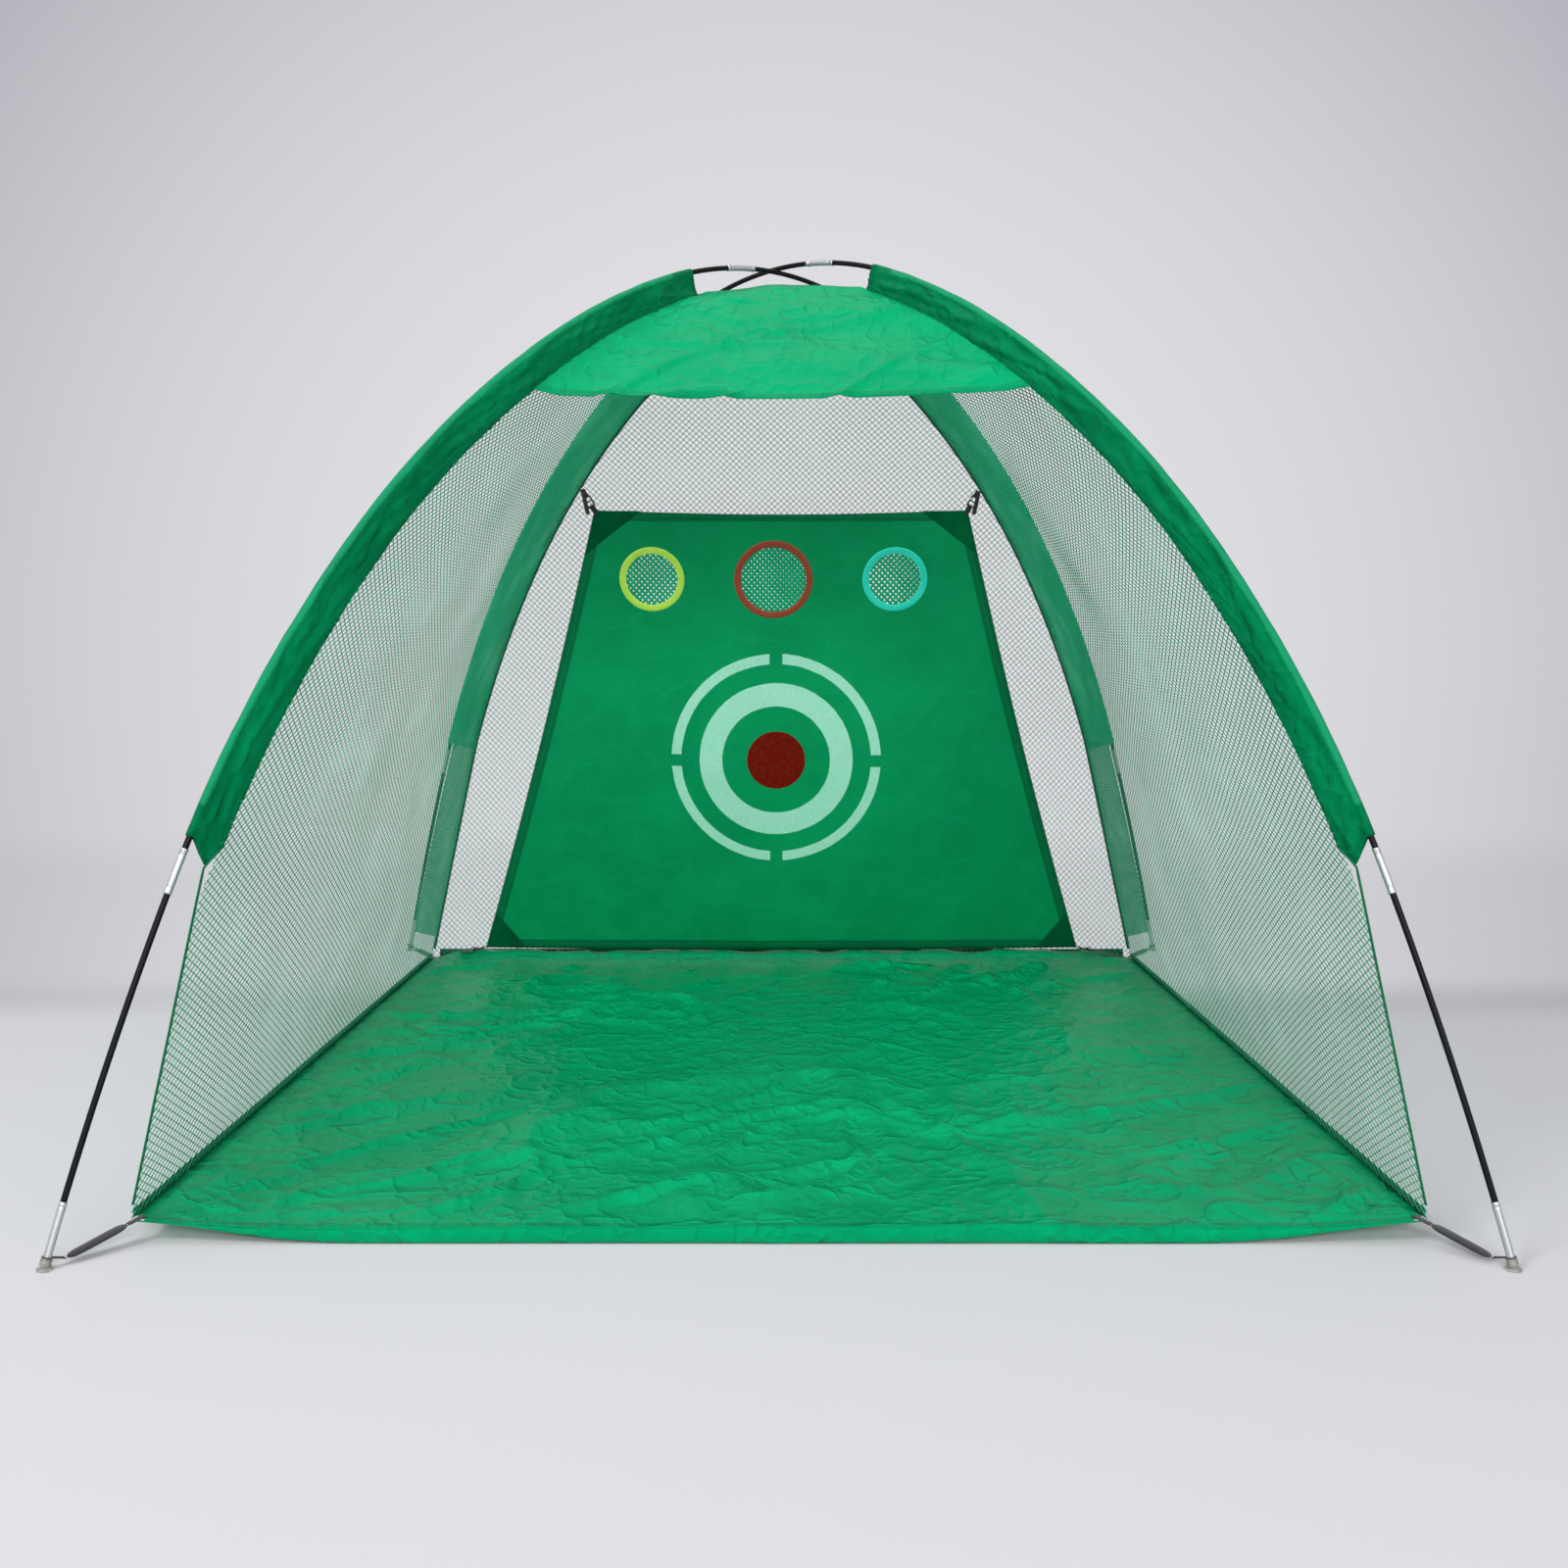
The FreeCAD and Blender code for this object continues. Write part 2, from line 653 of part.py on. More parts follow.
def make_hook():
    """A flat hook: a closed slot for the sheet's loop, and an open one for the elastic strap."""
    body = block(0, -hook_width / 2, -hook_bar / 2, hook_length, hook_width, hook_bar)
    low, deep = -hook_bar / 2 - cutter_reach, hook_bar + 2 * cutter_reach
    slot = (hook_length - 3 * hook_bar) / 2
    for k in range(2):
        at = hook_bar + k * (slot + hook_bar)
        body = body.cut(block(at, -hook_slot_length / 2, low, slot, hook_slot_length, deep))
    mouth_start = hook_slot_length / 2 - cutter_reach
    body = body.cut(block(2 * hook_bar + slot, mouth_start, low, hook_mouth, hook_width, deep))
    return body.makeFillet(hook_bar, [edge for edge in body.Edges if at_hook_corner(edge)])


def at_hook_corner(edge):
    box = edge.BoundBox
    upright = box.ZLength > hook_bar - corner_reach and box.DiagonalLength < hook_bar + corner_reach
    at_side = abs(edge.CenterOfMass.y) > hook_width / 2 - corner_reach
    at_end = abs(edge.CenterOfMass.x - hook_length / 2) > hook_length / 2 - corner_reach
    return upright and at_side and at_end


def corner_line(side, level):
    """From a corner of the sheet to the point that carries it, and the side that the strap faces."""
    strap = hook_bar / 2 + strap_gap + strap_wall
    if level == "top":
        pole = left_pole if side > 0 else right_pole
        anchor = rear_edge(pole, top_anchor_at)
        face = FreeCAD.Vector(1, 0, 0).cross(rear_edge(pole, top_anchor_at + anchor_step) - anchor)
        if side < 0:
            anchor = flip_point(anchor)
        corner = sheet_point(side * sheet_top_half, sheet_height, sheet_thickness / 2)
        anchor = anchor + (corner - anchor).normalize() * top_strap_standoff
    else:
        face = up
        inset = mat_corner_cut + bottom_anchor_inset
        x, y = mat_half_width - inset, mat_half_depth - inset
        height = mat_height(x, y) + mat_thickness + strap + seam_gap
        anchor = FreeCAD.Vector(side * x, y, height)
        corner = sheet_point(side * sheet_bottom_half, 0, sheet_thickness / 2)
    return corner, anchor, face


def make_sheet_hangers():
    inner = hook_bar / 2 + strap_gap
    loops = []
    far_bar = sheet_loop_length + hook_length - hook_bar / 2
    for level in ("top", "bottom"):
        hooks, straps = [], []
        for side in (-1, 1):
            corner, anchor, face = corner_line(side, level)
            frame = line_frame(corner, anchor, face)
            loop = band(-sheet_loop_length, sheet_loop_length + hook_bar / 2, strap_width, inner)
            reach = loop_cut_reach
            loop = loop.cut(block(-reach, -reach, -reach, reach + seam_gap, 2 * reach, 2 * reach))
            loops.append(put(loop.Solids[0], frame))
            hook = make_hook()
            hook.translate(FreeCAD.Vector(sheet_loop_length, 0, 0))
            hooks.append(put(hook, frame))
            straps.append(put(band(far_bar, (anchor - corner).Length, strap_width, inner), frame))
        save(f"{level}_hooks", *hooks)
        if level == "top":
            save("top_straps", *straps)
        else:
            save("bottom_left_strap", straps[0])
            save("bottom_right_strap", straps[1])
    save("sheet_corner_loops", *loops)


def make_corner_ties():
    """At each corner a strap, a padded tab and an elastic band tie the mat to the pole's end tube."""
    straps, tabs, bands = [], [], []
    inner = end_tube_diameter / 2 + tie_ring_gap
    cut = mat_corner_cut / 2
    for pole, place in ((left_pole, stay), (right_pole, flip)):
        for sign, at in ((-1, tie_ring_at), (1, pole.length - tie_ring_at)):
            point, along, normal = pole.frame(at)
            x, y = sign * (mat_half_width - cut), sign * (mat_half_depth - cut)
            corner = FreeCAD.Vector(x, y, mat_height(x, y) + mat_thickness / 2)
            way = corner - point
            way = (way - along * way.dot(along)).normalize()
            tab_end = point + way * tie_loop_length
            ring = FreeCAD.Placement(point, FreeCAD.Rotation(way, along, way.cross(along), "XYZ"))
            bands.append(place(put(tie_band(inner), ring)))
            frame = line_frame(corner, tab_end, up)
            strap = block(seam_gap, -corner_strap_width / 2, -corner_strap_thickness / 2,
                          corner_strap_length, corner_strap_width, corner_strap_thickness)
            straps.append(place(put(strap, frame)))
            start = corner_strap_length + seam_gap
            end = (corner - tab_end).Length - tie_band_width / 2
            tab = make_pull_tab(start, end)
            tab.translate(up * pull_tab_lift)
            tabs.append(place(put(tab, frame)))
    save("corner_straps", *straps)
    save("pull_tabs", *tabs)
    save("tie_bands", *bands)


def tie_band(inner):
    """An elastic band round the end tube, closed at the tab's end."""
    outer = inner + tie_band_thickness
    end = tie_loop_length - outer
    face = holed_face([racetrack(0.0, end, outer), racetrack(0.0, end, inner)])
    face.translate(FreeCAD.Vector(0, -tie_band_width / 2, 0))
    return face.extrude(FreeCAD.Vector(0, tie_band_width, 0))


def make_pull_tab(start, end):
    """A padded tab with rounded long edges."""
    half = (pull_tab_width - pull_tab_thickness) / 2
    section = Part.Face(racetrack(-half, half, pull_tab_thickness / 2))
    tab = section.extrude(FreeCAD.Vector(0, end - start, 0))
    quarter_turn = FreeCAD.Rotation(up, -90)
    return put(tab, FreeCAD.Placement(FreeCAD.Vector(start, 0, 0), quarter_turn))


os.makedirs("parts", exist_ok=True)
make_poles()
make_sleeves()
make_side_nets()
make_rear_net()
make_tapes()
make_canopy()
make_ground_mat()
make_target_sheet()
make_sheet_hangers()
make_corner_ties()
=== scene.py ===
import math

import bpy
import numpy as np
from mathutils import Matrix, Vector, geometry


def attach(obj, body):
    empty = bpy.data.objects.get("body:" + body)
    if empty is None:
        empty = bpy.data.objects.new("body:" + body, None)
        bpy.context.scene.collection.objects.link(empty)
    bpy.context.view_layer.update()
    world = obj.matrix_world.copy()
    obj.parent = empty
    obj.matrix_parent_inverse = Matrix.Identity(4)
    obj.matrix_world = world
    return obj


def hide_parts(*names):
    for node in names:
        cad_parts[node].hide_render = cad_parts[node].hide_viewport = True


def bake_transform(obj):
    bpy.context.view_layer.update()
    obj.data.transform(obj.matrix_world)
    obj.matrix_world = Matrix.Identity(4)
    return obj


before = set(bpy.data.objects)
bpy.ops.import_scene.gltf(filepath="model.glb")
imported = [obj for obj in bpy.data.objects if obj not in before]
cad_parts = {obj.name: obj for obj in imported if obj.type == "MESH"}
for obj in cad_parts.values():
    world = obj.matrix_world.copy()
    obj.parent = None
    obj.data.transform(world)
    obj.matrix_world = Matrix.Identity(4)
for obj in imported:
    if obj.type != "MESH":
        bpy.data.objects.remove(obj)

# A dome net for chipping practice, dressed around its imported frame. Metres, +Z up,
# the player stands on the -Y side.

for spare in ("Cube", "Light", "Camera"):
    if spare in bpy.data.objects:
        bpy.data.objects.remove(bpy.data.objects[spare])
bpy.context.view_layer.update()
print("frame loaded:", len(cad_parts), "nodes")


# Numbers and arrays

def smooth(t):
    t = np.clip(t, 0, 1)
    return t * t * (3 - 2 * t)


def unit(v):
    return v / np.maximum(np.linalg.norm(v, axis=-1, keepdims=True), 1e-12)


def stack(*parts):
    # numbers and arrays as the columns of one array
    return np.stack(np.broadcast_arrays(*parts), -1)


def blunt(v, power):
    return np.sign(v) * np.abs(v) ** power


def around(count, start=0.0):
    # angles evenly round a circle
    return 2 * math.pi * (np.arange(count) + start) / count


def flow(rows, at, places):
    # points of a polyline given by rows, at distances along it
    return stack(*(np.interp(places, at, rows[:, k]) for k in range(3)))


def lengths(rows):
    return np.r_[0, np.cumsum(np.linalg.norm(np.diff(rows, axis=0), axis=1))]


def heading(path, closed=False):
    return unit(np.roll(path, -1, 0) - np.roll(path, 1, 0) if closed else np.gradient(path, axis=0))


def cloud(x, y, seed):
    # a soft random field from -1 to 1, about one hump to a unit
    size = 97
    grid = np.random.default_rng(seed).uniform(-1, 1, (size, size))
    x, y = np.broadcast_arrays(x, y)
    i, j = np.floor(x).astype(int), np.floor(y).astype(int)
    p, q = smooth(x - i), smooth(y - j)
    low, high = (grid[i % size, k % size] * (1 - p) + grid[(i + 1) % size, k % size] * p for k in (j, j + 1))
    return low * (1 - q) + high * q


def creases(x, y, seed, sharp=2.5, narrow=1.7):
    # ridges along the field's zero lines, 0 to 1
    return np.clip(1 - narrow * np.abs(cloud(x, y, seed)), 0, 1) ** sharp


# Materials

def colour(code):
    parts = [int(code[k:k + 2], 16) / 255 for k in (0, 2, 4)]
    return tuple(((c + 0.055) / 1.055) ** 2.4 if c > 0.04045 else c / 12.92 for c in parts) + (1.0,)


class Wire:
    # an output of a node; an expression on wires adds its Math nodes
    def __init__(self, nodes, socket):
        self.nodes, self.socket = nodes, socket

    def math(self, operation, *others):
        return self.nodes.calculate(operation, self, *others)

    def __add__(self, other):
        return self.math("ADD", other)

    def __sub__(self, other):
        return self.math("SUBTRACT", other)

    def __rsub__(self, other):
        return self.nodes.calculate("SUBTRACT", other, self)

    def __mul__(self, other):
        return self.math("MULTIPLY", other)

    def __truediv__(self, other):
        return self.math("DIVIDE", other)

    def __pow__(self, other):
        return self.math("POWER", other)

    def __lt__(self, other):
        return self.math("LESS_THAN", other)

    def __abs__(self):
        return self.math("ABSOLUTE")

    __radd__ = __add__
    __rmul__ = __mul__


class Nodes:
    # a node tree; add() makes any node, and a text given to an input is a colour's code
    def __init__(self, tree):
        self.tree = tree

    def add(self, kind, settings=None, inputs=None, output=0):
        node = self.tree.nodes.new(kind)
        for key, value in (settings or {}).items():
            setattr(node, key, value)
        self.feed(node, inputs or {})
        return Wire(self, node.outputs[output])

    def feed(self, node, inputs):
        for key, value in inputs.items():
            if isinstance(value, Wire):
                self.tree.links.new(value.socket, node.inputs[key])
            else:
                node.inputs[key].default_value = colour(value) if isinstance(value, str) else value

    def calculate(self, operation, *values):
        return self.add("ShaderNodeMath", {"operation": operation}, dict(enumerate(values)))

    def blendInto(self, end, factor, shader, other):
        # the end node gets a mix of a shader node and another shader's wire
        mixed = self.add("ShaderNodeMixShader", {}, {0: factor, 1: Wire(self, shader.outputs[0]), 2: other})
        self.tree.links.new(mixed.socket, self.tree.nodes[end].inputs["Surface"])

    def seen(self):
        # 1 for what the camera sees, also by reflection and through clear plastic
        camera, glossy, clear = (self.add("ShaderNodeLightPath", output=f"Is {kind} Ray") for kind in
                                 ("Camera", "Glossy", "Transmission"))
        return camera.math("MAXIMUM", glossy).math("MAXIMUM", clear)


class Finish(Nodes):
    # one material, with fixed values on the shader's sockets
    def __init__(self, name, base, rough, **fixed):
        self.material = bpy.data.materials.new(name)
        self.material.use_nodes = True
        super().__init__(self.material.node_tree)
        self.shader = self.tree.nodes["Principled BSDF"]
        self.shade(Base_Color=base, Roughness=rough, **fixed)

    def shade(self, **inputs):
        self.feed(self.shader, {key.replace("_", " "): value for key, value in inputs.items()})

    def dress(self, base, roughness, height, depth=1.0):
        normal = self.add("ShaderNodeBump", {}, {"Height": height, "Distance": depth, "Strength": 1.0})
        self.shade(Base_Color=base, Roughness=roughness, Normal=normal)
        return self.material

    def place(self):
        return self.add("ShaderNodeTexCoord", output="Object")

    def map(self, name, axis):
        uv = self.add("ShaderNodeUVMap", {"uv_map": name})
        return self.add("ShaderNodeSeparateXYZ", {}, {0: uv}, axis)

    def wave(self, name, axis, pitch):
        return (self.map(name, axis) * (2 * math.pi / pitch)).math("SINE")

    def noise(self, scale, detail=3.0, vector=None):
        inputs = {"Vector": vector or self.place(), "Scale": scale, "Detail": detail}
        return self.add("ShaderNodeTexNoise", {}, inputs)

    def ramp(self, value, low, high):
        inputs = {"Value": value, "From Min": low, "From Max": high}
        return self.add("ShaderNodeMapRange", {"interpolation_type": "SMOOTHSTEP"}, inputs)

    def mix(self, factor, first, second):
        return self.add("ShaderNodeMix", {"data_type": "RGBA"}, {0: factor, 6: first, 7: second}, 2)

    def crumple(self, scales, detail=3.0, sharp=5.0):
        # thin sharp ridges, as in cloth that was packed small, 0 to 1
        vector = self.add("ShaderNodeVectorMath", {"operation": "MULTIPLY"}, {0: self.place(), 1: scales})
        return (1 - abs(self.noise(1.0, detail, vector) - 0.5) * 4.0).math("MAXIMUM", 0.0) ** sharp

    def stitches(self):
        # dashes that run along a hem, from the map that holds the distance to the edge
        off = abs(self.map("edge", 0) - clothLook["stitchInset"]) < clothLook["stitchWidth"]
        return off * ((self.map("edge", 1) / clothLook["stitchPitch"]).math("FRACT") < clothLook["dash"])


clothLook = {
    "thread": 0.0016, "threadDepth": 0.00005,     # metres from thread to thread, and the weave's height
    "lumps": 0.0003,
    "hem": 0.016, "hemDark": "033d24", "hemDepth": 0.0006, "stitchDepth": 0.0004,
    "stitchInset": 0.0135, "stitchPitch": 0.0042, "stitchWidth": 0.0007, "dash": 0.62,
    "tones": 6.0,                                 # patches of lighter and darker cloth to a metre
    "shine": 0.2, "glint": "0ce890", "through": "0cb070",
}
greens = {
    # the sleeves' greens are darker than the canopy's, though the cloth is the same: painted shade
    "sleeve": ("038250", "027044", "10a66c"),
    "canopy": ("08a86e", "079f68", "18be82"),
    "mat": ("04ad70", "03a067", "0ec082"),
    "target": ("059e61", "04935a", "14ac74"),
    "patch": ("046b40", "035733", "128a58"),
    # the ribbed bands' greens are raised well above the other cloth's: painted light for the bands lit
    # through from behind
    "ribs": ("26dca0", "11ba80", "70ecc4"),
    "tape": ("06583a", "04452c", "2c936a"),
    "trim": ("0c7a4e", "08653f", "3aa67e"),
    "cord": ("44be96", "1a8f66", "76dab8"),
    "band": ("22a57c", "0f8560", "45c29a"),
    "windowCord": ("1cc48c", "0a9a6a", "3cd0a0"),
    # the sleeve rim's colour and span: a painted highlight along the pole's side of the front sleeves
    "rim": "3ccf98", "rimHighlightAt": (0.0475, 0.0505),     # metres from the seam
}


def clothFinish(name, light, dark, thread, rough=0.5, hem=clothLook["hem"], folds=0.0009, hemShade=0.25):
    finish = Finish(name, light, rough, Specular_IOR_Level=clothLook["shine"],
                    Specular_Tint=clothLook["glint"])
    base = finish.mix(finish.ramp(finish.noise(clothLook["tones"], 4.0), 0.3, 0.72), dark, light)
    base = finish.mix(finish.ramp(finish.noise(420.0, 2.0), 0.4, 0.9) * 0.1, base, thread)
    pitch = clothLook["thread"]
    weave = finish.wave("weave", 0, pitch) * finish.wave("weave", 1, pitch) * clothLook["threadDepth"]
    ridges = finish.crumple((7.0, 9.0, 9.0)) + 0.6 * finish.crumple((19.0, 13.0, 15.0), 2.0, 4.0)
    height = weave + finish.noise(34.0, 4.0) * clothLook["lumps"] + ridges * folds
    # painted highlight: the crease ridges are made lighter, towards the thread colour
    base = finish.mix(ridges * 0.16, base, thread)
    if hem:
        dashes = finish.stitches()
        folded = 1 - finish.ramp(finish.map("edge", 0), hem - 0.001, hem + 0.0012)
        base = finish.mix(folded * hemShade, base, clothLook["hemDark"])
        base = finish.mix(dashes * 0.55, base, thread)
        height = height + folded * clothLook["hemDepth"] - dashes * clothLook["stitchDepth"]
    return finish, base, height, rough - 0.07 + 0.14 * finish.noise(55.0, 3.0)


def closeCloth(finish, base, height, roughness, through=clothLook["through"], share=0.25):
    # thin cloth: part of the light comes through from behind
    finish.dress(base, roughness, height)
    lit = finish.add("ShaderNodeBsdfTranslucent", {}, {"Color": through})
    finish.blendInto("Material Output", share, finish.shader, lit)
    return finish.material


def sleeveFinish():
    # a painted highlight: the cloth is made paler along the pole, where the rounded sleeve catches the light
    finish, base, height, roughness = clothFinish("sleeve_cloth", *greens["sleeve"], rough=0.42, folds=0.0024)
    rim = finish.ramp(finish.map("edge", 0), *greens["rimHighlightAt"])
    return closeCloth(finish, finish.mix(rim * 0.3, base, greens["rim"]), height, roughness)


ribLook = {
    "pitch": 0.0044, "slant": 0.18, "depth": 0.0006,
    "laceInset": 0.019, "laceHalf": 0.0035, "lacePitch": 0.0036, "lace": "a9dfc9", "through": "28e4a2",
}


def ribbedCloth():
    # a band of fine ribs with a pale looped edge beside its seam
    finish, base, height, roughness = clothFinish("ribbed_cloth", *greens["ribs"], hem=0)
    slant = finish.map("weave", 0) + finish.map("weave", 1) * ribLook["slant"]
    rib = (slant * (2 * math.pi / ribLook["pitch"])).math("SINE") * 0.5 + 0.5
    base = finish.mix(rib * 0.7, base, greens["ribs"][1])
    inside = abs(finish.map("edge", 0) - ribLook["laceInset"]) < ribLook["laceHalf"]
    loops = finish.wave("edge", 0, ribLook["lacePitch"]) * finish.wave("edge", 1, ribLook["lacePitch"])
    base = finish.mix(inside * finish.ramp(loops, 0.0, 0.5) * 0.7, base, ribLook["lace"])
    return closeCloth(finish, base, height - rib * ribLook["depth"], roughness, ribLook["through"], 0.5)


tapeLook = {"rib": 0.0022, "ribDepth": 0.0002, "fluff": 0.0003, "stitchDepth": 0.0003, "slender": 1.3}


def tapeFinish(name, light, dark, thread, lattice=0.0):
    # a narrow ribbed tape with a line of stitches, and dots where net is folded under it
    finish = Finish(name, light, 0.62, Sheen_Weight=0.05, Specular_IOR_Level=0.25)
    rib = finish.wave("weave", 0, tapeLook["rib"]) * 0.5 + 0.5
    dashes = finish.stitches()
    base = finish.mix(dashes * 0.6, finish.mix(rib * 0.5, light, dark), thread)
    if lattice:
        dots = finish.wave("weave", 0, lattice) * finish.wave("weave", 1, lattice / tapeLook["slender"])
        base = finish.mix(finish.ramp(dots, 0.35, 0.85) * 0.7, base, thread)
    base = finish.mix(finish.ramp(finish.noise(30.0), 0.4, 0.8) * 0.3, base, dark)
    height = rib * tapeLook["ribDepth"] + finish.noise(260.0, 2.0) * tapeLook["fluff"]
    height = height - dashes * tapeLook["stitchDepth"]
    return finish.dress(base, 0.5 + 0.2 * finish.noise(90.0), height)


def cordFinish(name, light, dark, thread):
    # knitted mesh cord: twisted fibres with a slight fuzz
    finish = Finish(name, light, 0.68, Specular_IOR_Level=0.12)
    fibres = finish.noise(900.0, 2.0)
    base = finish.mix(finish.ramp(fibres, 0.35, 0.7), dark, light)
    base = finish.mix(finish.ramp(finish.noise(7.0, 2.0), 0.45, 0.8) * 0.45, base, thread)
    return finish.dress(base, 0.58 + 0.2 * finish.noise(300.0), fibres, 0.0003)


printLook = {
    "across": -0.0126, "up": 0.5278,     # centre of the rings on the sheet
    "tall": 1.06, "gap": 0.031,
    "outer": (0.2313, 0.2553), "middle": (0.1313, 0.1867), "dot": 0.0711,
    "edge": 0.0007, "rough": 0.0022, "depth": 0.00025, "backLoss": 0.82,
    "pale": "b0f2da", "red": "7a0802", "shine": 0.1, "glint": "c8d8d0", "through": "0a8a55",
}


def targetFinish():
    # the sheet's cloth with its printed rings, placed by distances along the sheet
    finish, base, height, roughness = clothFinish("target_cloth", *greens["target"], hem=0.024,
                                                  folds=0.0006, hemShade=0.55)
    finish.shade(Specular_IOR_Level=printLook["shine"], Specular_Tint=printLook["glint"])
    across = finish.map("weave", 0) - printLook["across"]
    up = finish.map("weave", 1) - printLook["up"]
    radius = (across * across + up * up / printLook["tall"] ** 2).math("SQRT")
    radius = radius + (finish.noise(60.0, 3.0) - 0.5) * printLook["rough"]

    def beyond(value, limit):
        return finish.ramp(value, limit - printLook["edge"], limit + printLook["edge"])

    def ring(inner, outer):
        return beyond(radius, inner) * (1 - beyond(radius, outer))

    gapped = beyond(abs(across), printLook["gap"] / 2) * beyond(abs(up), printLook["gap"] / 2)
    # the print is on the front; the back shows it faintly
    normal = finish.add("ShaderNodeTexCoord", output="Normal")
    facing = finish.add("ShaderNodeSeparateXYZ", {}, {0: normal}, 1)
    front = 1 - finish.ramp(facing, -0.2, 0.2) * printLook["backLoss"]
    worn = finish.ramp(finish.noise(190.0, 4.0), 0.25, 0.6)
    dot = (1 - beyond(radius, printLook["dot"])) * front
    pale = (ring(*printLook["outer"]) * gapped + ring(*printLook["middle"])) * front * (0.86 + 0.14 * worn)
    base = finish.mix(pale, base, printLook["pale"])
    base = finish.mix(dot * (0.93 + 0.07 * worn), base, printLook["red"])
    printed = pale + dot
    return closeCloth(finish, base, height + printed * printLook["depth"], roughness + printed * 0.08,
                      printLook["through"], 0.1)


ringLook = {
    "rim": (0.0005, 0.0035), "weave": 0.0018, "weaveDepth": 0.00006, "lumps": 0.0003,
    "zigzag": 0.006, "swing": 0.0012, "inset": 0.0028, "thread": 0.0004, "threadDepth": 0.0003,
}


def ringFinish(name, light, dark):
    # coated tape of a window ring, brighter at its rims, with a zigzag of stitches
    finish, look = Finish(name, light, 0.45, Specular_IOR_Level=0.3), ringLook
    base = finish.mix(finish.ramp(finish.map("edge", 0), *look["rim"]) * 0.8, light, dark)
    zigzag = finish.wave("edge", 1, look["zigzag"]) * look["swing"] + look["inset"]
    thread = abs(finish.map("edge", 0) - zigzag) < look["thread"]
    base = finish.mix(thread * 0.5, base, light)
    weave = finish.wave("weave", 0, look["weave"]) * finish.wave("weave", 1, look["weave"])
    height = finish.noise(240.0) * look["lumps"] + thread * look["threadDepth"] + weave * look["weaveDepth"]
    return finish.dress(base, 0.38 + 0.15 * finish.noise(80.0), height)


def rodFinish():
    finish = Finish("pole_black", "060607", 0.45, Specular_IOR_Level=0.16)
    streaks = finish.noise(70.0, 3.0)
    wear = finish.ramp(finish.noise(420.0, 4.0), 0.58, 0.74)
    base = finish.mix(wear * 0.15, finish.mix(streaks, "050506", "0c0d0e"), "1f2123")
    return finish.dress(base, 0.38 + 0.14 * streaks, finish.noise(600.0, 2.0), 0.00008)


def steelFinish():
    finish = Finish("ferrule_steel", "c4c6c8", 0.45, Metallic=1.0)
    drawn = finish.noise(30.0, 2.0)
    rubbed = finish.ramp(finish.noise(330.0, 4.0), 0.45, 0.75)
    base = finish.mix(rubbed * 0.1, finish.mix(drawn, "bbbdbf", "cfd1d2"), "94958f")
    return finish.dress(base, 0.44 + 0.06 * rubbed, drawn, 0.00003)


def clearFinish():
    finish = Finish("cap_clear", "e9e6dd", 0.16, Transmission_Weight=0.82, IOR=1.47)
    haze = finish.noise(90.0, 3.0)
    return finish.dress(finish.mix(haze * 0.5, "f1efe8", "d8d4c8"), 0.1 + 0.2 * haze, haze, 0.0004)


def mouldedFinish():
    finish = Finish("hook_plastic", "141516", 0.42)
    rub = finish.ramp(finish.noise(160.0, 3.0), 0.55, 0.8)
    base = finish.mix(rub * 0.5, "101112", "2b2d2f")
    return finish.dress(base, 0.36 + 0.16 * rub, finish.noise(1400.0, 2.0), 0.00012)


def webbingFinish(name, dark, light, pitch):
    # black webbing with a herringbone weave
    finish = Finish(name, dark, 0.7, Sheen_Weight=0.35)
    bend = abs((finish.map("weave", 1) / (pitch * 3)).math("FRACT") - 0.5) * 2
    rib = abs((finish.map("weave", 0) / pitch + bend).math("FRACT") - 0.5) * 2
    fuzz = finish.ramp(finish.noise(500.0), 0.5, 0.9)
    base = finish.mix(fuzz * 0.3, finish.mix(rib * 0.7, dark, light), "3b3d40")
    return finish.dress(base, 0.6 + 0.2 * rib, rib, 0.0003)


canopyCloth = closeCloth(*clothFinish("canopy_cloth", *greens["canopy"], rough=0.4, folds=0.0036), share=0.14)
matCloth = closeCloth(*clothFinish("mat_cloth", *greens["mat"], rough=0.36, folds=0.0042), share=0.06)
patchCloth = closeCloth(*clothFinish("patch_cloth", *greens["patch"]))
sleeveCloth, ribCloth, targetCloth = sleeveFinish(), ribbedCloth(), targetFinish()
bindingTape = tapeFinish("binding_tape", *greens["tape"])
frontTape = tapeFinish("front_tape", *greens["trim"])
netFold = tapeFinish("net_fold_tape", *greens["tape"], lattice=0.009)
netCord = cordFinish("net_cord", *greens["cord"])
bandCord = cordFinish("band_cord", *greens["band"])
windowCord = cordFinish("window_cord", *greens["windowCord"])
ringTapes = {
    "left": ringFinish("ring_yellow", "d2fa74", "b9ec46"),
    "middle": ringFinish("ring_red", "a85138", "963a20"),
    "right": ringFinish("ring_cyan", "3cf2da", "18d6c0"),
}
poleBlack, ferruleSteel, capClear, hookPlastic = rodFinish(), steelFinish(), clearFinish(), mouldedFinish()
webbing = webbingFinish("webbing_black", "0f1011", "232527", 0.0019)
padding = webbingFinish("tab_padding", "101113", "1e2023", 0.0013)
elastic = webbingFinish("elastic_black", "0d0d0e", "1f2022", 0.0009)
print("materials made")


# Meshes

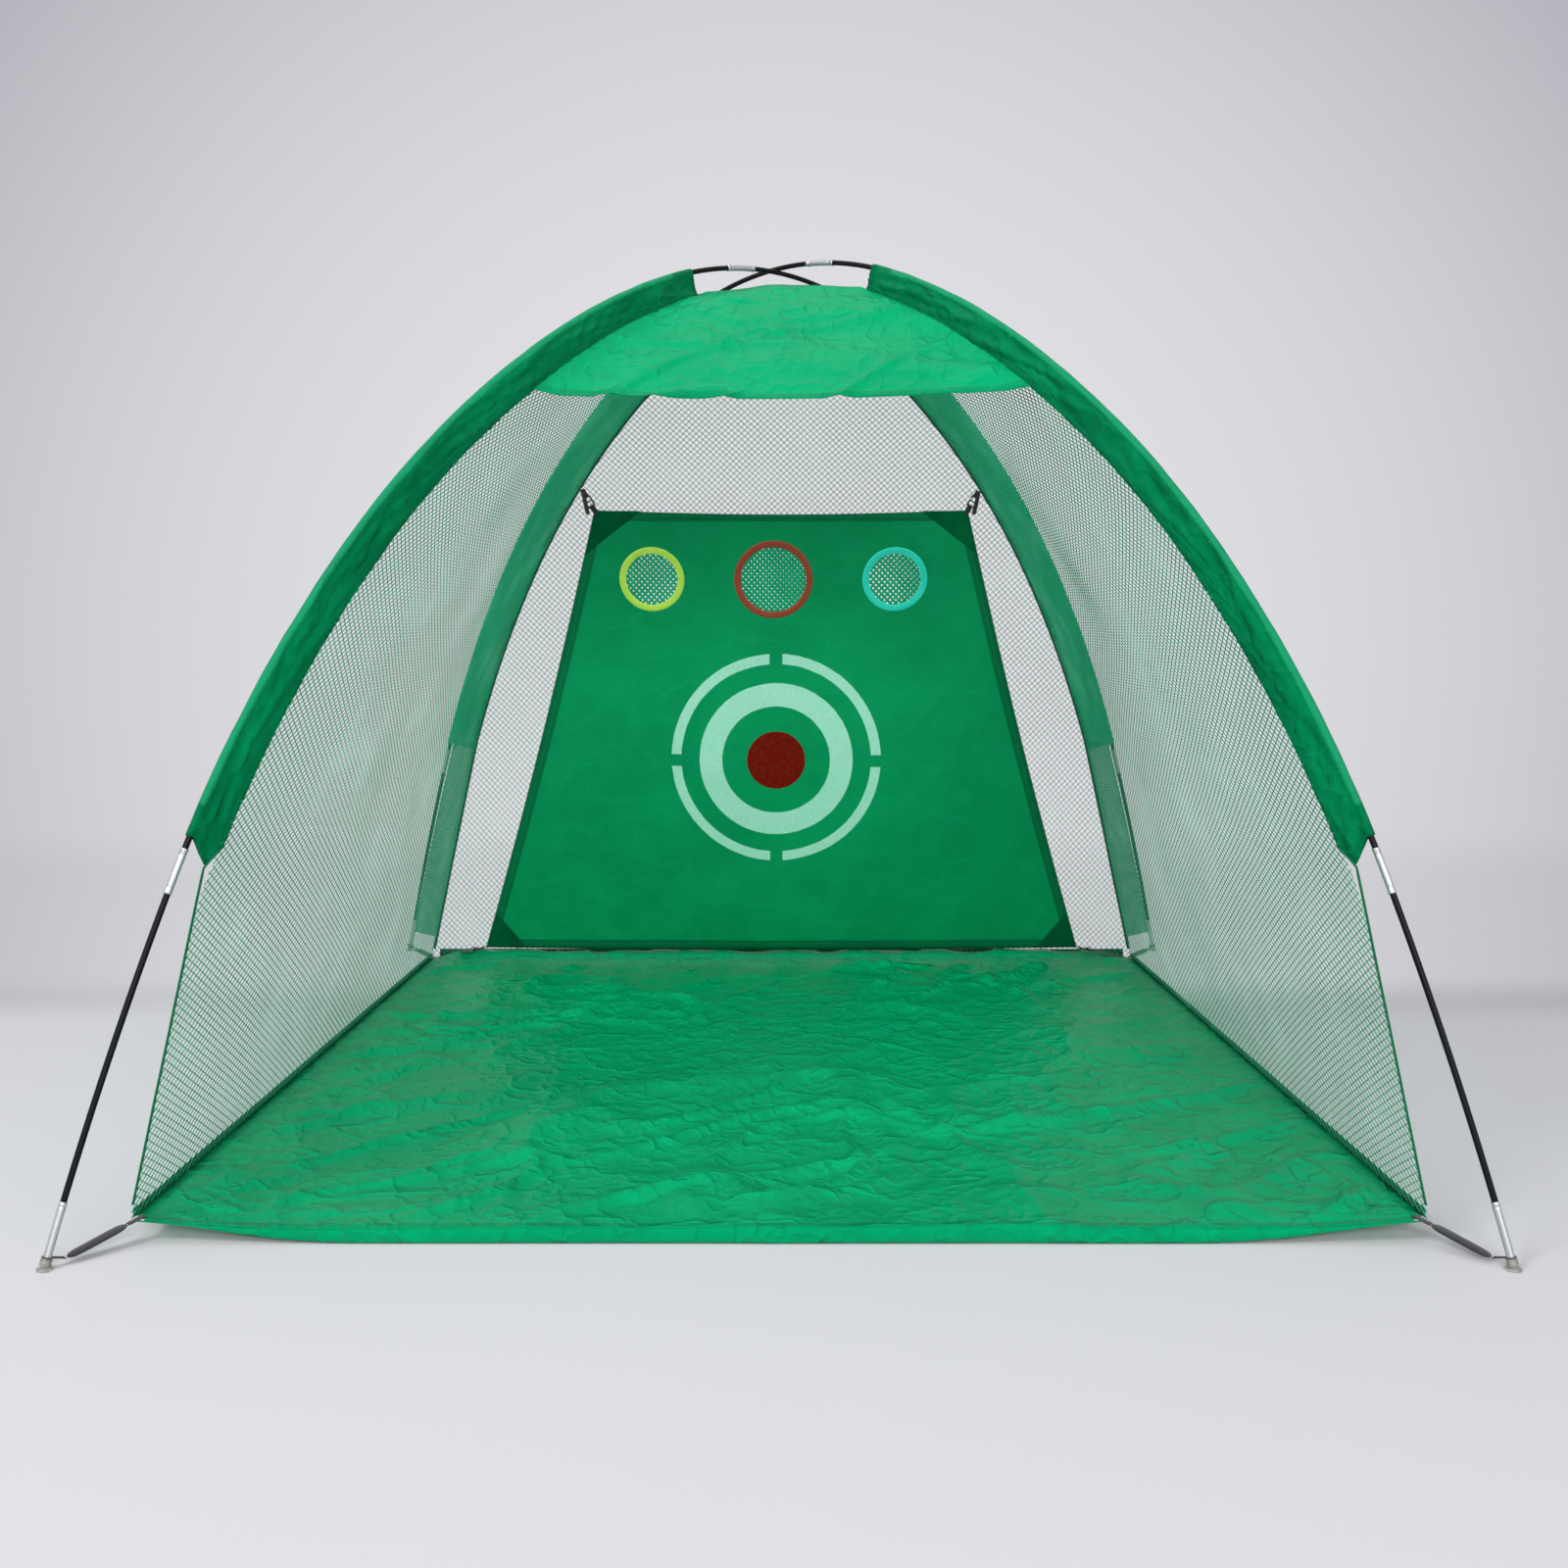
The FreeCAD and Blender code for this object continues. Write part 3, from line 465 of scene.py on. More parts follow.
def piece(name, points, faces, material, body="frame", slot=None, uv=None, replaces=(), ride=True):
    mesh = bpy.data.meshes.new(name)
    mesh.from_pydata([tuple(p) for p in points], [], [tuple(f) for f in faces])
    corner = np.array([i for f in faces for i in f])
    for layer, values in (uv or {}).items():
        made = mesh.uv_layers.new(name=layer)
        made.data.foreach_set("uv", np.asarray(values, float)[corner].astype(np.float32).ravel())
    mesh.polygons.foreach_set("use_smooth", [True] * len(mesh.polygons))
    mesh.update()
    made = bpy.data.objects.new(name, mesh)
    bpy.context.scene.collection.objects.link(made)
    made.data.materials.append(material)
    if ride:
        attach(made, body)
    # the slot's name, or the material's name without its number, is worked out but not kept
    slot or material.name.split(".")[0]
    if replaces:
        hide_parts(*replaces)
    return made


def netting(rows, columns, ringed=False):
    # four-sided faces of a grid of points, closed across where it is ringed
    index = np.arange(rows * columns).reshape(rows, columns)
    if ringed:
        index = np.hstack([index, index[:, :1]])
    return stack(index[:-1, :-1], index[:-1, 1:], index[1:, 1:], index[1:, :-1]).reshape(-1, 4)


def thicken(made, thickness):
    solid = made.modifiers.new("cloth_thickness", "SOLIDIFY")
    solid.thickness, solid.offset, solid.use_even_offset = thickness, 0.0, False


class Bundle:
    # tubes, ribbons and turned shapes gathered into one mesh
    def __init__(self):
        self.points, self.faces, self.weave, self.count = [], [], [], 0

    def gather(self, points, faces, weave):
        self.points.append(points.reshape(-1, 3))
        self.faces += [[corner + self.count for corner in face] for face in faces]
        self.weave.append(weave)
        self.count += len(self.points[-1])
        return self

    def sweep(self, path, along, across, wide, tall, label, closed):
        # a section, given by its corners' distances across and up, carried along a path
        high = np.cross(across, along)
        points = path[:, None] + across[:, None] * wide[..., None] + high[:, None] * tall[..., None]
        rows, sides = points.shape[:2]
        first = np.arange(sides)
        last = first + (rows - 1) * sides
        ends = stack(last, np.roll(last, -1), np.roll(first, -1), first) if closed else [first[::-1], last]
        faces = netting(rows, sides, True).tolist() + [list(end) for end in ends]
        return self.gather(points, faces, stack(np.repeat(lengths(path), sides), np.tile(label, rows)))

    def tube(self, path, lift, radius, sides=4, squeeze=1.0, closed=False):
        # radius is one number or one for each point; lift is the way that the section's first corner faces
        path, angle = np.asarray(path, float), around(sides, 0.5)
        along = heading(path, closed)
        radius = np.broadcast_to(radius, len(path))[:, None]
        return self.sweep(path, along, unit(np.cross(along, lift)), np.sin(angle) * radius,
                          np.cos(angle) * radius * squeeze, np.arange(sides) * 0.001, closed)

    def ribbon(self, path, across, width, thickness, closed=False, sides=10):
        # a flat strap: a rounded oblong section, its wide way along across
        path, angle = np.asarray(path, float), around(sides, 0.5)
        along = heading(path, closed)
        across = unit(np.broadcast_to(across, path.shape) - along * np.sum(along * across, -1, keepdims=True))
        wide, tall = blunt(np.cos(angle), 0.35) * width / 2, blunt(np.sin(angle), 0.6) * thickness / 2
        return self.sweep(path, along, across, wide, tall, wide, closed)

    def revolve(self, profile, origin, axis, sides):
        axis = unit(np.asarray(axis, float))
        first = unit(np.cross(axis, [0.3, 0.9, 0.1]))
        angle = around(sides)[:, None]
        spin = np.cos(angle) * first + np.sin(angle) * np.cross(axis, first)
        r, h = np.array(profile).T[..., None, None]
        points = origin + axis * h + spin * np.maximum(r, 1e-5)
        return self.gather(points, netting(len(profile), sides, True).tolist(), np.zeros((len(r) * sides, 2)))

    def made(self, name, material, edge=None, **facts):
        weave = np.vstack(self.weave)
        uv = {"weave": weave}
        if edge:
            off = np.abs(weave[:, 1])
            uv["edge"] = stack(off.max() - off + edge, weave[:, 0])
        return piece(name, np.vstack(self.points), self.faces, material, uv=uv, **facts)


# The poles' line

poleShape = {
    "footReach": 1.0, "footHeight": 0.0052, "crossing": 1.543,
    "overLift": 0.0096,          # how much higher the right pole crosses
    "bends": [(2, 5.34), (2, 14.63), (2, 18.58), (1, 12.42), (1, 20.96)],
    "endSection": 0.559, "middleOffset": 0.106, "jointsEachWay": 3,
    "radius": 0.0045, "sectionGap": 0.0004,
    "leanFrom": 12, "leanTo": 110,     # degrees between which the lean at the foot is looked for
}


class PoleLine:
    # a bent pole in a vertical plane, from its front foot to its far rear foot
    def __init__(self, rise, mirror):
        self.over = np.array([mirror, 1.0, 1.0])
        self.inward = np.array([1.0, 1.0, 0.0]) / math.sqrt(2)
        self.across = np.array([1.0, -1.0, 0.0]) / math.sqrt(2)
        self.up = np.array([0.0, 0.0, 1.0])
        self.foot = np.array([-poleShape["footReach"], -poleShape["footReach"], poleShape["footHeight"]])
        span, rise = poleShape["footReach"] * math.sqrt(2), rise - poleShape["footHeight"]
        total, turns = (sum(bend[k] for bend in poleShape["bends"]) for k in (0, 1))
        shares = [(length / total, turn / turns) for length, turn in poleShape["bends"]]
        low, high = math.radians(poleShape["leanFrom"]), math.radians(poleShape["leanTo"])
        for trial in range(60):
            lean = (low + high) / 2
            reach, height = self.arch(lean, 1.0, shares)[-1][3:5]
            low, high = (lean, high) if height / reach < rise / span else (low, lean)
        half = span / reach
        arcs = self.arch(lean, half, shares + shares[::-1])
        self.starts, self.radii, self.angles, self.reaches, self.heights = np.array(arcs[:-1]).T
        self.length = 2 * half

    def arch(self, lean, half, shares):
        # where each bend starts, its radius, and the angle, reach and height there
        rows, at, reach, height, angle = [], 0.0, 0.0, 0.0, lean
        for length, turn in shares:
            radius = half * length / (lean * turn)
            rows.append((at, radius, angle, reach, height))
            reach += radius * (math.sin(angle) - math.sin(angle - turn * lean))
            height += radius * (math.cos(angle - turn * lean) - math.cos(angle))
            angle -= turn * lean
            at += half * length
        return rows + [(at, 1.0, angle, reach, height)]

    def bare(self, s):
        # point, direction and inward normal at distances along the unmirrored pole
        s = np.atleast_1d(np.asarray(s, float))
        k = np.clip(np.searchsorted(self.starts, s + 1e-9, side="right") - 1, 0, len(self.starts) - 1)
        now = self.angles[k] - (s - self.starts[k]) / self.radii[k]
        reach = self.reaches[k] + self.radii[k] * (np.sin(self.angles[k]) - np.sin(now))
        height = self.heights[k] + self.radii[k] * (np.cos(now) - np.cos(self.angles[k]))
        rise, run = np.sin(now)[:, None], np.cos(now)[:, None]
        point = self.foot + self.inward * reach[:, None] + self.up * height[:, None]
        return point, self.inward * run + self.up * rise, self.inward * rise - self.up * run

    def at(self, s):
        return [part * self.over for part in self.bare(s)]

    def flap(self, s, turn, side):
        # the direction that a sleeve's flap leaves the pole in
        lean = math.radians(turn)
        return self.bare(s)[2] * math.cos(lean) - self.across * (side * math.sin(lean))

    def seam(self, s, turn, side, reach):
        return (self.bare(s)[0] + self.flap(s, turn, side) * reach) * self.over

    def joints(self):
        middle = self.length / 2 - poleShape["middleOffset"]
        back = self.length - poleShape["endSection"]
        shares = np.linspace(0, 1, poleShape["jointsEachWay"] + 1)
        front = poleShape["endSection"] + (middle - poleShape["endSection"]) * shares[:-1]
        return np.concatenate([front, middle + (back - middle) * shares])


leftPole = PoleLine(poleShape["crossing"], 1.0)
rightPole = PoleLine(poleShape["crossing"] + poleShape["overLift"], -1.0)
sleeves = {
    "start": 0.611, "end": 1.985,
    "frontWidth": 0.050, "frontTurn": 6.0,
    "rearWidth": 0.062, "rearTurn": 50.0,
    "tail": 0.034, "tailShare": 0.72,
}


def frontSeam(pole, s, extra=0.0):
    return pole.seam(s, sleeves["frontTurn"], -1, sleeves["frontWidth"] + extra)


def rearSeam(pole, s, extra=0.0):
    return pole.seam(pole.length - s, sleeves["rearTurn"], 1, sleeves["rearWidth"] + extra)


# Poles, ferrules, end tubes and foot caps

metalTubes = {
    "ferrule": 0.068, "ferruleRadius": 0.0053, "endTube": 0.088, "endRadius": 0.0055,
    "lip": 0.0005, "bevel": 0.0006, "groove": 0.0004, "sides": 28,
}
footCap = {
    "base": [(0.0, 0.0), (0.0098, 0.0), (0.0108, 0.0006), (0.011, 0.0016), (0.0106, 0.0028), (0.0094, 0.0035),
             (0.0086, 0.0036), (0.008, 0.0042), (0.0, 0.0046)],
    "collar": [(0.0, 0.0001), (0.0072, 0.0001), (0.0077, 0.001), (0.0076, 0.0085), (0.0072, 0.0108),
               (0.0064, 0.0112), (0.0057, 0.0106), (0.0056, 0.002), (0.0, 0.002)],
    "sides": 32,
}


def tubeAlong(name, pole, start, end, radii, material, node, sides=20, step=0.012):
    # radii are (distance from the nearer end, radius) pairs, so that both ends are alike
    ends, sizes = np.array(radii).T
    middle = np.arange(start + ends[-1], end - ends[-1], step)
    s = np.unique(np.r_[start + ends, middle, end - ends])
    centre, along, inside = pole.at(s)
    radius = np.interp(np.minimum(s - start, end - s), ends, sizes)
    Bundle().tube(centre, inside, radius, sides).made(name, material, replaces=[node])


def makePoles():
    gap, rod = poleShape["sectionGap"] / 2, poleShape["radius"]
    rodEnds = [(0.0, rod * 0.8), (0.0008, rod), (0.004, rod)]
    ring, lip, bevel, groove = (metalTubes[part] for part in ("ferruleRadius", "lip", "bevel", "groove"))
    collar = [(0.0, ring - bevel), (0.0006, ring + lip), (0.0022, ring + lip), (0.0034, ring), (0.009, ring),
              (0.0098, ring - groove), (0.0106, ring), (0.014, ring)]
    wide, tube, half = metalTubes["endRadius"], metalTubes["endTube"], metalTubes["ferrule"] / 2
    cap = [(0.0, wide - bevel), (0.0008, wide), (0.006, wide), (0.0066, wide - groove), (0.0072, wide),
           (0.01, wide)]
    for pole, side in ((leftPole, "left"), (rightPole, "right")):
        joints = pole.joints()
        ends = [0.0, *joints, pole.length]
        for k, (start, end) in enumerate(zip(ends, ends[1:]), 1):
            tubeAlong(f"{side}_rod_{k}", pole, start + gap, end - gap, rodEnds, poleBlack,
                      f"{side}_pole_section_{k}")
        for k, joint in enumerate(joints, 1):
            tubeAlong(f"{side}_ferrule_{k}", pole, joint - half, joint + half, collar, ferruleSteel,
                      f"{side}_pole_ferrules", metalTubes["sides"], 0.008)
        for start, where in ((0.0, "front"), (pole.length - tube, "rear")):
            tubeAlong(f"{side}_pole_{where}_tube", pole, start, start + tube, cap, ferruleSteel,
                      "pole_end_tubes", metalTubes["sides"], 0.01)


def makeFootCaps():
    for pole, side, far in ((leftPole, "left", "right"), (rightPole, "right", "left")):
        for s, turn, name in ((0.0, 1, f"front_{side}"), (pole.length, -1, f"rear_{far}")):
            centre, along, inside = (part[0] for part in pole.at(s))
            bundle = Bundle().revolve(footCap["base"], centre * [1, 1, 0], [0, 0, 1], footCap["sides"])
            bundle.revolve(footCap["collar"], centre, along * turn, footCap["sides"])
            bundle.made(f"foot_cap_{name}", capClear, replaces=["foot_caps"])


makePoles()
makeFootCaps()
print("poles made")


# Sleeves

sleeveLook = {
    "steps": 260, "flat": 12, "nose": 8,
    "thin": 0.0009, "full": 0.0066,      # half thickness at the seam and beside the pole
    "puff": 0.0090,                      # height of the puckers
    "calm": 0.03,                        # they are flatter this near to the ends
    "mouth": 0.02, "gape": 0.25,         # how far from its upper end, and how much, a sleeve opens
    "thickness": 0.0006,
}


def sleevePiece(name, pole, rear, seed, material):
    look, end = sleeveLook, sleeves["end"]
    width, turn = (sleeves[("rear" if rear else "front") + what] for what in ("Width", "Turn"))
    share = np.linspace(1.0, 0.0, look["flat"])
    thick = look["thin"] + (look["full"] - look["thin"]) * (1 - share) ** 1.6
    bend = np.linspace(math.pi / 2, -math.pi / 2, look["nose"] + 2)[1:-1]
    nose = stack(-np.cos(bend), np.sin(bend)) * look["full"]
    outline = np.vstack([stack(share * width, thick), nose, stack(share * width, -thick)[::-1]])
    shares = np.r_[share, 0 * bend, share[::-1]]
    facing = np.r_[np.ones(len(share)), np.sin(bend), -np.ones(len(share))]
    tail = np.interp(shares, [0.1, sleeves["tailShare"], 1.0], [0.0, 1.0, 0.0])
    low = (sleeves["start"] - (0 if rear else sleeves["tail"]) * tail)[None, :]
    s = low + (end - low) * np.linspace(0, 1, look["steps"])[:, None]
    pucker = 0.55 * cloud(s * 17 + shares * 2.5, shares * 2.0 + facing * 3, seed)
    pucker += 0.95 * creases(s * 11 - shares * 3.4, shares * 1.4 + facing * 5, seed + 1, 3.2) - 0.2
    pucker += 0.2 * cloud(s * 55, shares * 6 + facing * 7, seed + 2)
    inner = np.sin(math.pi * np.clip(shares, 0, 1)) ** 0.7
    near = smooth((s - low) / look["calm"]) * smooth((end - s) / look["calm"])
    e = outline[:, 1] + facing * inner * pucker * look["puff"] * (0.35 + 0.65 * near)
    mouth = smooth((s - end + look["mouth"]) / look["mouth"])
    e = e * (1 + look["gape"] * mouth * (1 - np.abs(shares - 0.5)))
    f = outline[:, 0] + 0.0006 * cloud(s * 30, facing * 2, seed + 3)
    flat = s.ravel()
    place = pole.length - flat if rear else flat
    point, along, inside = pole.bare(place)
    flap = pole.flap(place, turn, 1 if rear else -1)
    points = point + flap * f.reshape(-1, 1) + np.cross(flap, along) * e.reshape(-1, 1)
    weave = stack(s, lengths(outline)).reshape(-1, 2)
    distance = np.minimum(width * (1 - shares), np.minimum(end - s, s - low)).ravel()
    uv = {"weave": weave, "edge": stack(distance + 0.001, flat + weave[:, 1])}
    made = piece(f"{name}_sleeve_cloth", points * pole.over, netting(look["steps"], len(shares), True),
                 material, slot="sleeve_cloth", uv=uv, replaces=[f"{name}_sleeve"])
    thicken(made, look["thickness"])


sleevePiece("front_left", leftPole, False, 11, sleeveCloth)
sleevePiece("front_right", rightPole, False, 23, sleeveCloth)
sleevePiece("rear_right", leftPole, True, 37, ribCloth)
sleevePiece("rear_left", rightPole, True, 41, ribCloth)
print("sleeves made")


# Nets

mat = {
    "half": 0.92, "depth": 0.912,
    "frontLift": 0.032, "floorGap": 0.001, "middleLift": 0.022,
    "sagDepth": 0.33, "sideSag": 0.19,
    "cut": 0.014, "thickness": 0.0009,
}


def matHeight(x, y):
    way = y + mat["depth"]
    side = mat["frontLift"] * (1 - way / (2 * mat["depth"]))
    middle = mat["middleLift"] * np.maximum(0.0, 1 - way / mat["sagDepth"]) ** 2
    reach = np.maximum(0.0, 1 - (mat["half"] - np.abs(x)) / mat["sideSag"]) ** 2
    return mat["floorGap"] + middle + (side - middle) * reach


def eased(rows, reach=6):
    # the same line with its bends rounded, its ends kept
    weight = np.hanning(2 * reach + 3)[1:-1]
    rows = np.vstack([2 * rows[:1] - rows[reach:0:-1], rows, 2 * rows[-1:] - rows[-2:-reach - 2:-1]])
    return stack(*(np.convolve(rows[:, k], weight / weight.sum(), "valid") for k in range(3)))


netLook = {
    "sideWide": 0.022, "sideHigh": 0.0128,     # a mesh of the side walls, across and up
    "rearWide": 0.0144, "rearHigh": 0.0166,
    "cord": 0.0008, "rearCord": 0.00082,
    "cross": 0.0005,                           # the cords of one direction lie this far over the others
    "tuck": 0.005, "walk": 5, "shortest": 4,   # a strand's points lie walk steps apart
    "warp": 0.0022, "low": 0.001, "overMat": 0.002,
    "sideBulge": 0.012, "rearBulge": 0.006, "waves": 0.004,
    "give": 0.011,                             # how far the rear net gives way to the bottom hooks
    "giveAt": (0.786, 0.048), "giveReach": (0.055, 0.034),
}


class NetWall:
    # a wall between two edges, laid out by u, a coordinate across it, and v, the distance up it
    def __init__(self, first, second, axis, inward, bulge, seed, give=0.0):
        self.first, self.second, self.axis = first, second, axis
        self.near, self.far = eased(first), eased(second)
        self.middle = (self.near + self.far) / 2
        self.v = lengths(self.middle)
        self.height = self.v[-1]
        self.inward, self.bulge, self.seed, self.give = inward, bulge, seed, give

    def span(self, v):
        return [np.interp(v, self.v, rows[:, self.axis]) for rows in (self.near, self.far)]

    def facing(self, v, step=0.02):
        up = flow(self.middle, self.v, v + step) - flow(self.middle, self.v, v - step)
        facing = unit(np.cross(up, np.eye(3)[self.axis]))
        return facing * np.sign(np.sum(facing * self.inward, -1, keepdims=True))

    def place(self, u, v, lift=0.0):
        a, b = flow(self.near, self.v, v), flow(self.far, self.v, v)
        t = (u - a[:, self.axis]) / (b - a)[:, self.axis]
        hollow = np.sin(math.pi * np.clip(t, 0, 1)) * np.sin(math.pi * np.clip(v / self.height, 0, 1))
        out = (self.bulge + netLook["waves"] * cloud(u * 5, v * 5, self.seed)) * hollow + lift
        if self.give:
            across, up = netLook["giveAt"]
            wide, high = netLook["giveReach"]
            push = np.exp(-((np.abs(u) - across) / wide) ** 2 - ((v - up) / high) ** 2)
            out = out + self.give * push * smooth(v / 0.02)
        return a + (b - a) * t[:, None] + self.facing(v) * out[:, None]


def netPiece(name, wall, wide, high, cord, slot, node):
    bundle = Bundle()
    v = np.arange(netLook["low"], wall.height, high / 4)
    low, up = wall.span(v)
    for sign in (-1, 1):
        slope = sign * wide / high
        reach = abs(slope) * wall.height
        for start in np.arange(low.min() - reach, up.max() + reach, wide):
            u = start + slope * v + netLook["warp"] * cloud(v * 7, start * 7, wall.seed + sign)
            inside = (u > low - netLook["tuck"]) & (u < up + netLook["tuck"])
            bounds = np.flatnonzero(np.diff(np.r_[0, inside.astype(int), 0]))
            for begin, end in zip(bounds[::2], bounds[1::2]):
                if end - begin < netLook["shortest"]:
                    continue
                pick = np.unique(np.r_[np.arange(begin, end, netLook["walk"]), end - 1])
                path = wall.place(u[pick], v[pick], sign * netLook["cross"])
                bundle.tube(path, wall.facing(v[pick]), cord)
    made = bundle.made(name, netCord, slot=slot, replaces=[node])
    print(f"{name}:", len(made.data.polygons), "faces")


def wallRows(side):
    # the front and rear edges of a side wall, from the mat's corners up
    frontPole, rearPole = (leftPole, rightPole) if side < 0 else (rightPole, leftPole)
    s = np.linspace(sleeves["start"], sleeves["end"], 90)
    x, up = mat["half"], netLook["overMat"]
    footFront, footRear = (np.array([side * x, y, float(matHeight(x, y)) + up])
                           for y in (-mat["depth"], mat["depth"]))
    front, rear = frontSeam(frontPole, s), rearSeam(rearPole, s)
    tip = frontSeam(frontPole, sleeves["start"], sleeves["frontWidth"] * (sleeves["tailShare"] - 1))[0]
    tip = tip - frontPole.at(sleeves["start"])[1][0] * sleeves["tail"]
    near = rear[0] + (footRear - rear[0]) * (sleeves["tail"] / np.linalg.norm(rear[0] - footRear))
    share = np.linspace(0, 1, 24)[:, None]
    return np.vstack([footFront + (tip - footFront) * share, front]), \
        np.vstack([footRear + (near - footRear) * share, rear])


def makeNets():
    for side, name in ((-1, "left"), (1, "right")):
        walls[name] = NetWall(*wallRows(side), 1, [-side, 0, 0], netLook["sideBulge"], 60 + side)
        netPiece(f"{name}_wall_net", walls[name], netLook["sideWide"], netLook["sideHigh"], netLook["cord"],
                 "side_mesh", f"{name}_side_net")
    walls["rear"] = NetWall(walls["left"].second, walls["right"].second, 0, [0, 1, 0], netLook["rearBulge"],
                            80, netLook["give"])
    netPiece("back_wall_net", walls["rear"], netLook["rearWide"], netLook["rearHigh"], netLook["rearCord"],
             "rear_mesh", "rear_net")


walls = {}
makeNets()


# Tapes and bindings

tapes = {
    "front": (0.009, 0.0018), "corner": (0.012, 0.0022), "seam": (0.013, 0.0026), "foot": (0.014, 0.0024),
    "top": (0.012, 0.0018), "rearFoot": (0.021, 0.0024),     # width and thickness
    "stitched": 0.0085,          # what the map of distances to the edge starts from
    "step": 0.012, "wave": 0.0006, "inset": 0.012, "rearInset": 0.02,
    "height": 0.0068, "rearHeight": 0.013, "rearWave": 0.0012, "behind": 0.0015,
}


def tape(name, run, across, kind, material, *nodes):
    Bundle().ribbon(run, across, *tapes[kind]).made(name, material, edge=tapes["stitched"],
                                                    slot="binding_tape", replaces=nodes)


def wavyTape(name, path, across, kind, material, *nodes):
    at = lengths(path)
    places = np.linspace(0, at[-1], max(3, int(at[-1] / tapes["step"])))
    wave = tapes["wave"] * cloud(places * 21, 0.5, len(name))
    tape(name, flow(path, at, places) + np.array(across) * wave[:, None], across, kind, material, *nodes)


def makeTapes():
    for side, name in ((-1, "left"), (1, "right")):
        wall = walls[name]
        wavyTape(f"{name}_front_tape", wall.first[1:25] + np.array([0, -0.0030, 0]), [0, 1.0, 0.06], "front",
                 frontTape, "net_front_tapes")
        wavyTape(f"{name}_corner_tape", wall.second[1:26] + np.array([-side * 0.001, -0.001, 0]),
                 [-side * 0.75, -0.65, 0], "corner", netFold, "net_corner_tapes")
        pole = rightPole if side < 0 else leftPole
        s = np.linspace(sleeves["start"] - 0.004, sleeves["end"], 110)
        flap = pole.flap(pole.length - s, sleeves["rearTurn"], 1) * pole.over
        tape(f"{name}_rear_seam_tape", rearSeam(pole, s, -0.002), flap, "seam", bindingTape)
        reach = mat["depth"] - tapes["inset"]
        x, y = side * (mat["half"] + 0.0004), np.linspace(-reach, reach, 150)
        z = matHeight(x, y) + tapes["height"] + tapes["wave"] * cloud(y * 14, 0.3, 7)
        tape(f"{name}_foot_binding", stack(x, y, z), [-side * 0.12, 0, 1.0], "foot", netFold, "mat_bindings")
        top = np.stack([wall.first[-1], wall.second[-1]])
        wavyTape(f"{name}_top_tape", top, [0, 0, 1.0], "top", frontTape)
    rear = walls["rear"]
    wavyTape("rear_top_tape", np.stack([rear.first[-1], rear.second[-1]]), [0, 0.3, 1.0], "top", frontTape)
    reach = mat["half"] - tapes["rearInset"]
    x = np.linspace(-reach, reach, 120)
    z = tapes["rearHeight"] + tapes["rearWave"] * cloud(x * 9, 0.7, 5)
    run = stack(x, mat["depth"] + tapes["behind"], z)
    tape("rear_foot_binding", run, [0, 0.1, 1.0], "rearFoot", netFold)


cornerBand = {
    "pitch": 0.0044, "cord": 0.0017857, "slant": 0.010, "clear": 0.0085, "low": 0.05, "floor": 0.012,
    "outerCord": 0.0014, "innerCord": 0.0012,
}


def makeCornerBands():
    # ribbed mesh between the rear seams and the poles, from the sleeves' lower ends to the mat's corners
    look = cornerBand
    for pole, name in ((rightPole, "left"), (leftPole, "right")):
        seam = walls[name].second[2:26]
        at = lengths(seam)
        places = np.arange(0.012, at[-1] + 0.012, look["pitch"])
        inner = flow(seam, at, places)
        s = look["low"] + (sleeves["start"] + 0.01 - look["low"]) * (places / at[-1])
        point = pole.at(pole.length - s)[0]
        outer = point + unit(inner - point) * look["clear"]
        bundle, share = Bundle(), np.linspace(0, 1, 5)
        for start, end in zip(inner, outer):
            line = start + (end - start) * share[:, None]
            line[:, 2] = np.maximum(line[:, 2] - look["slant"] * share * (1 - 0.3 * share), look["floor"])
            bundle.tube(line, [0, -0.5, 1.0], look["cord"])
        down = np.array([0, 0, -look["slant"] * 0.7])
        middle = inner + (outer - inner) * 0.14 + down * 0.15
        bundle.tube((outer + down)[::3], [0, -1.0, 0], look["outerCord"], 6)
        bundle.tube(middle[::3], [0, -1.0, 0], look["innerCord"], 6)
        bundle.made(f"{name}_corner_band", bandCord, slot="side_mesh")


makeTapes()
makeCornerBands()
print("tapes made")


# Canopy

canopy = {
    "start": 1.545, "rows": 56, "columns": 190, "inset": 0.003,
    "sag": 0.006, "wrinkle": 0.0190, "gather": 0.0012, "crown": 0.003, "hang": 0.004, "tuck": 0.007,
    "thickness": 0.0007,
}


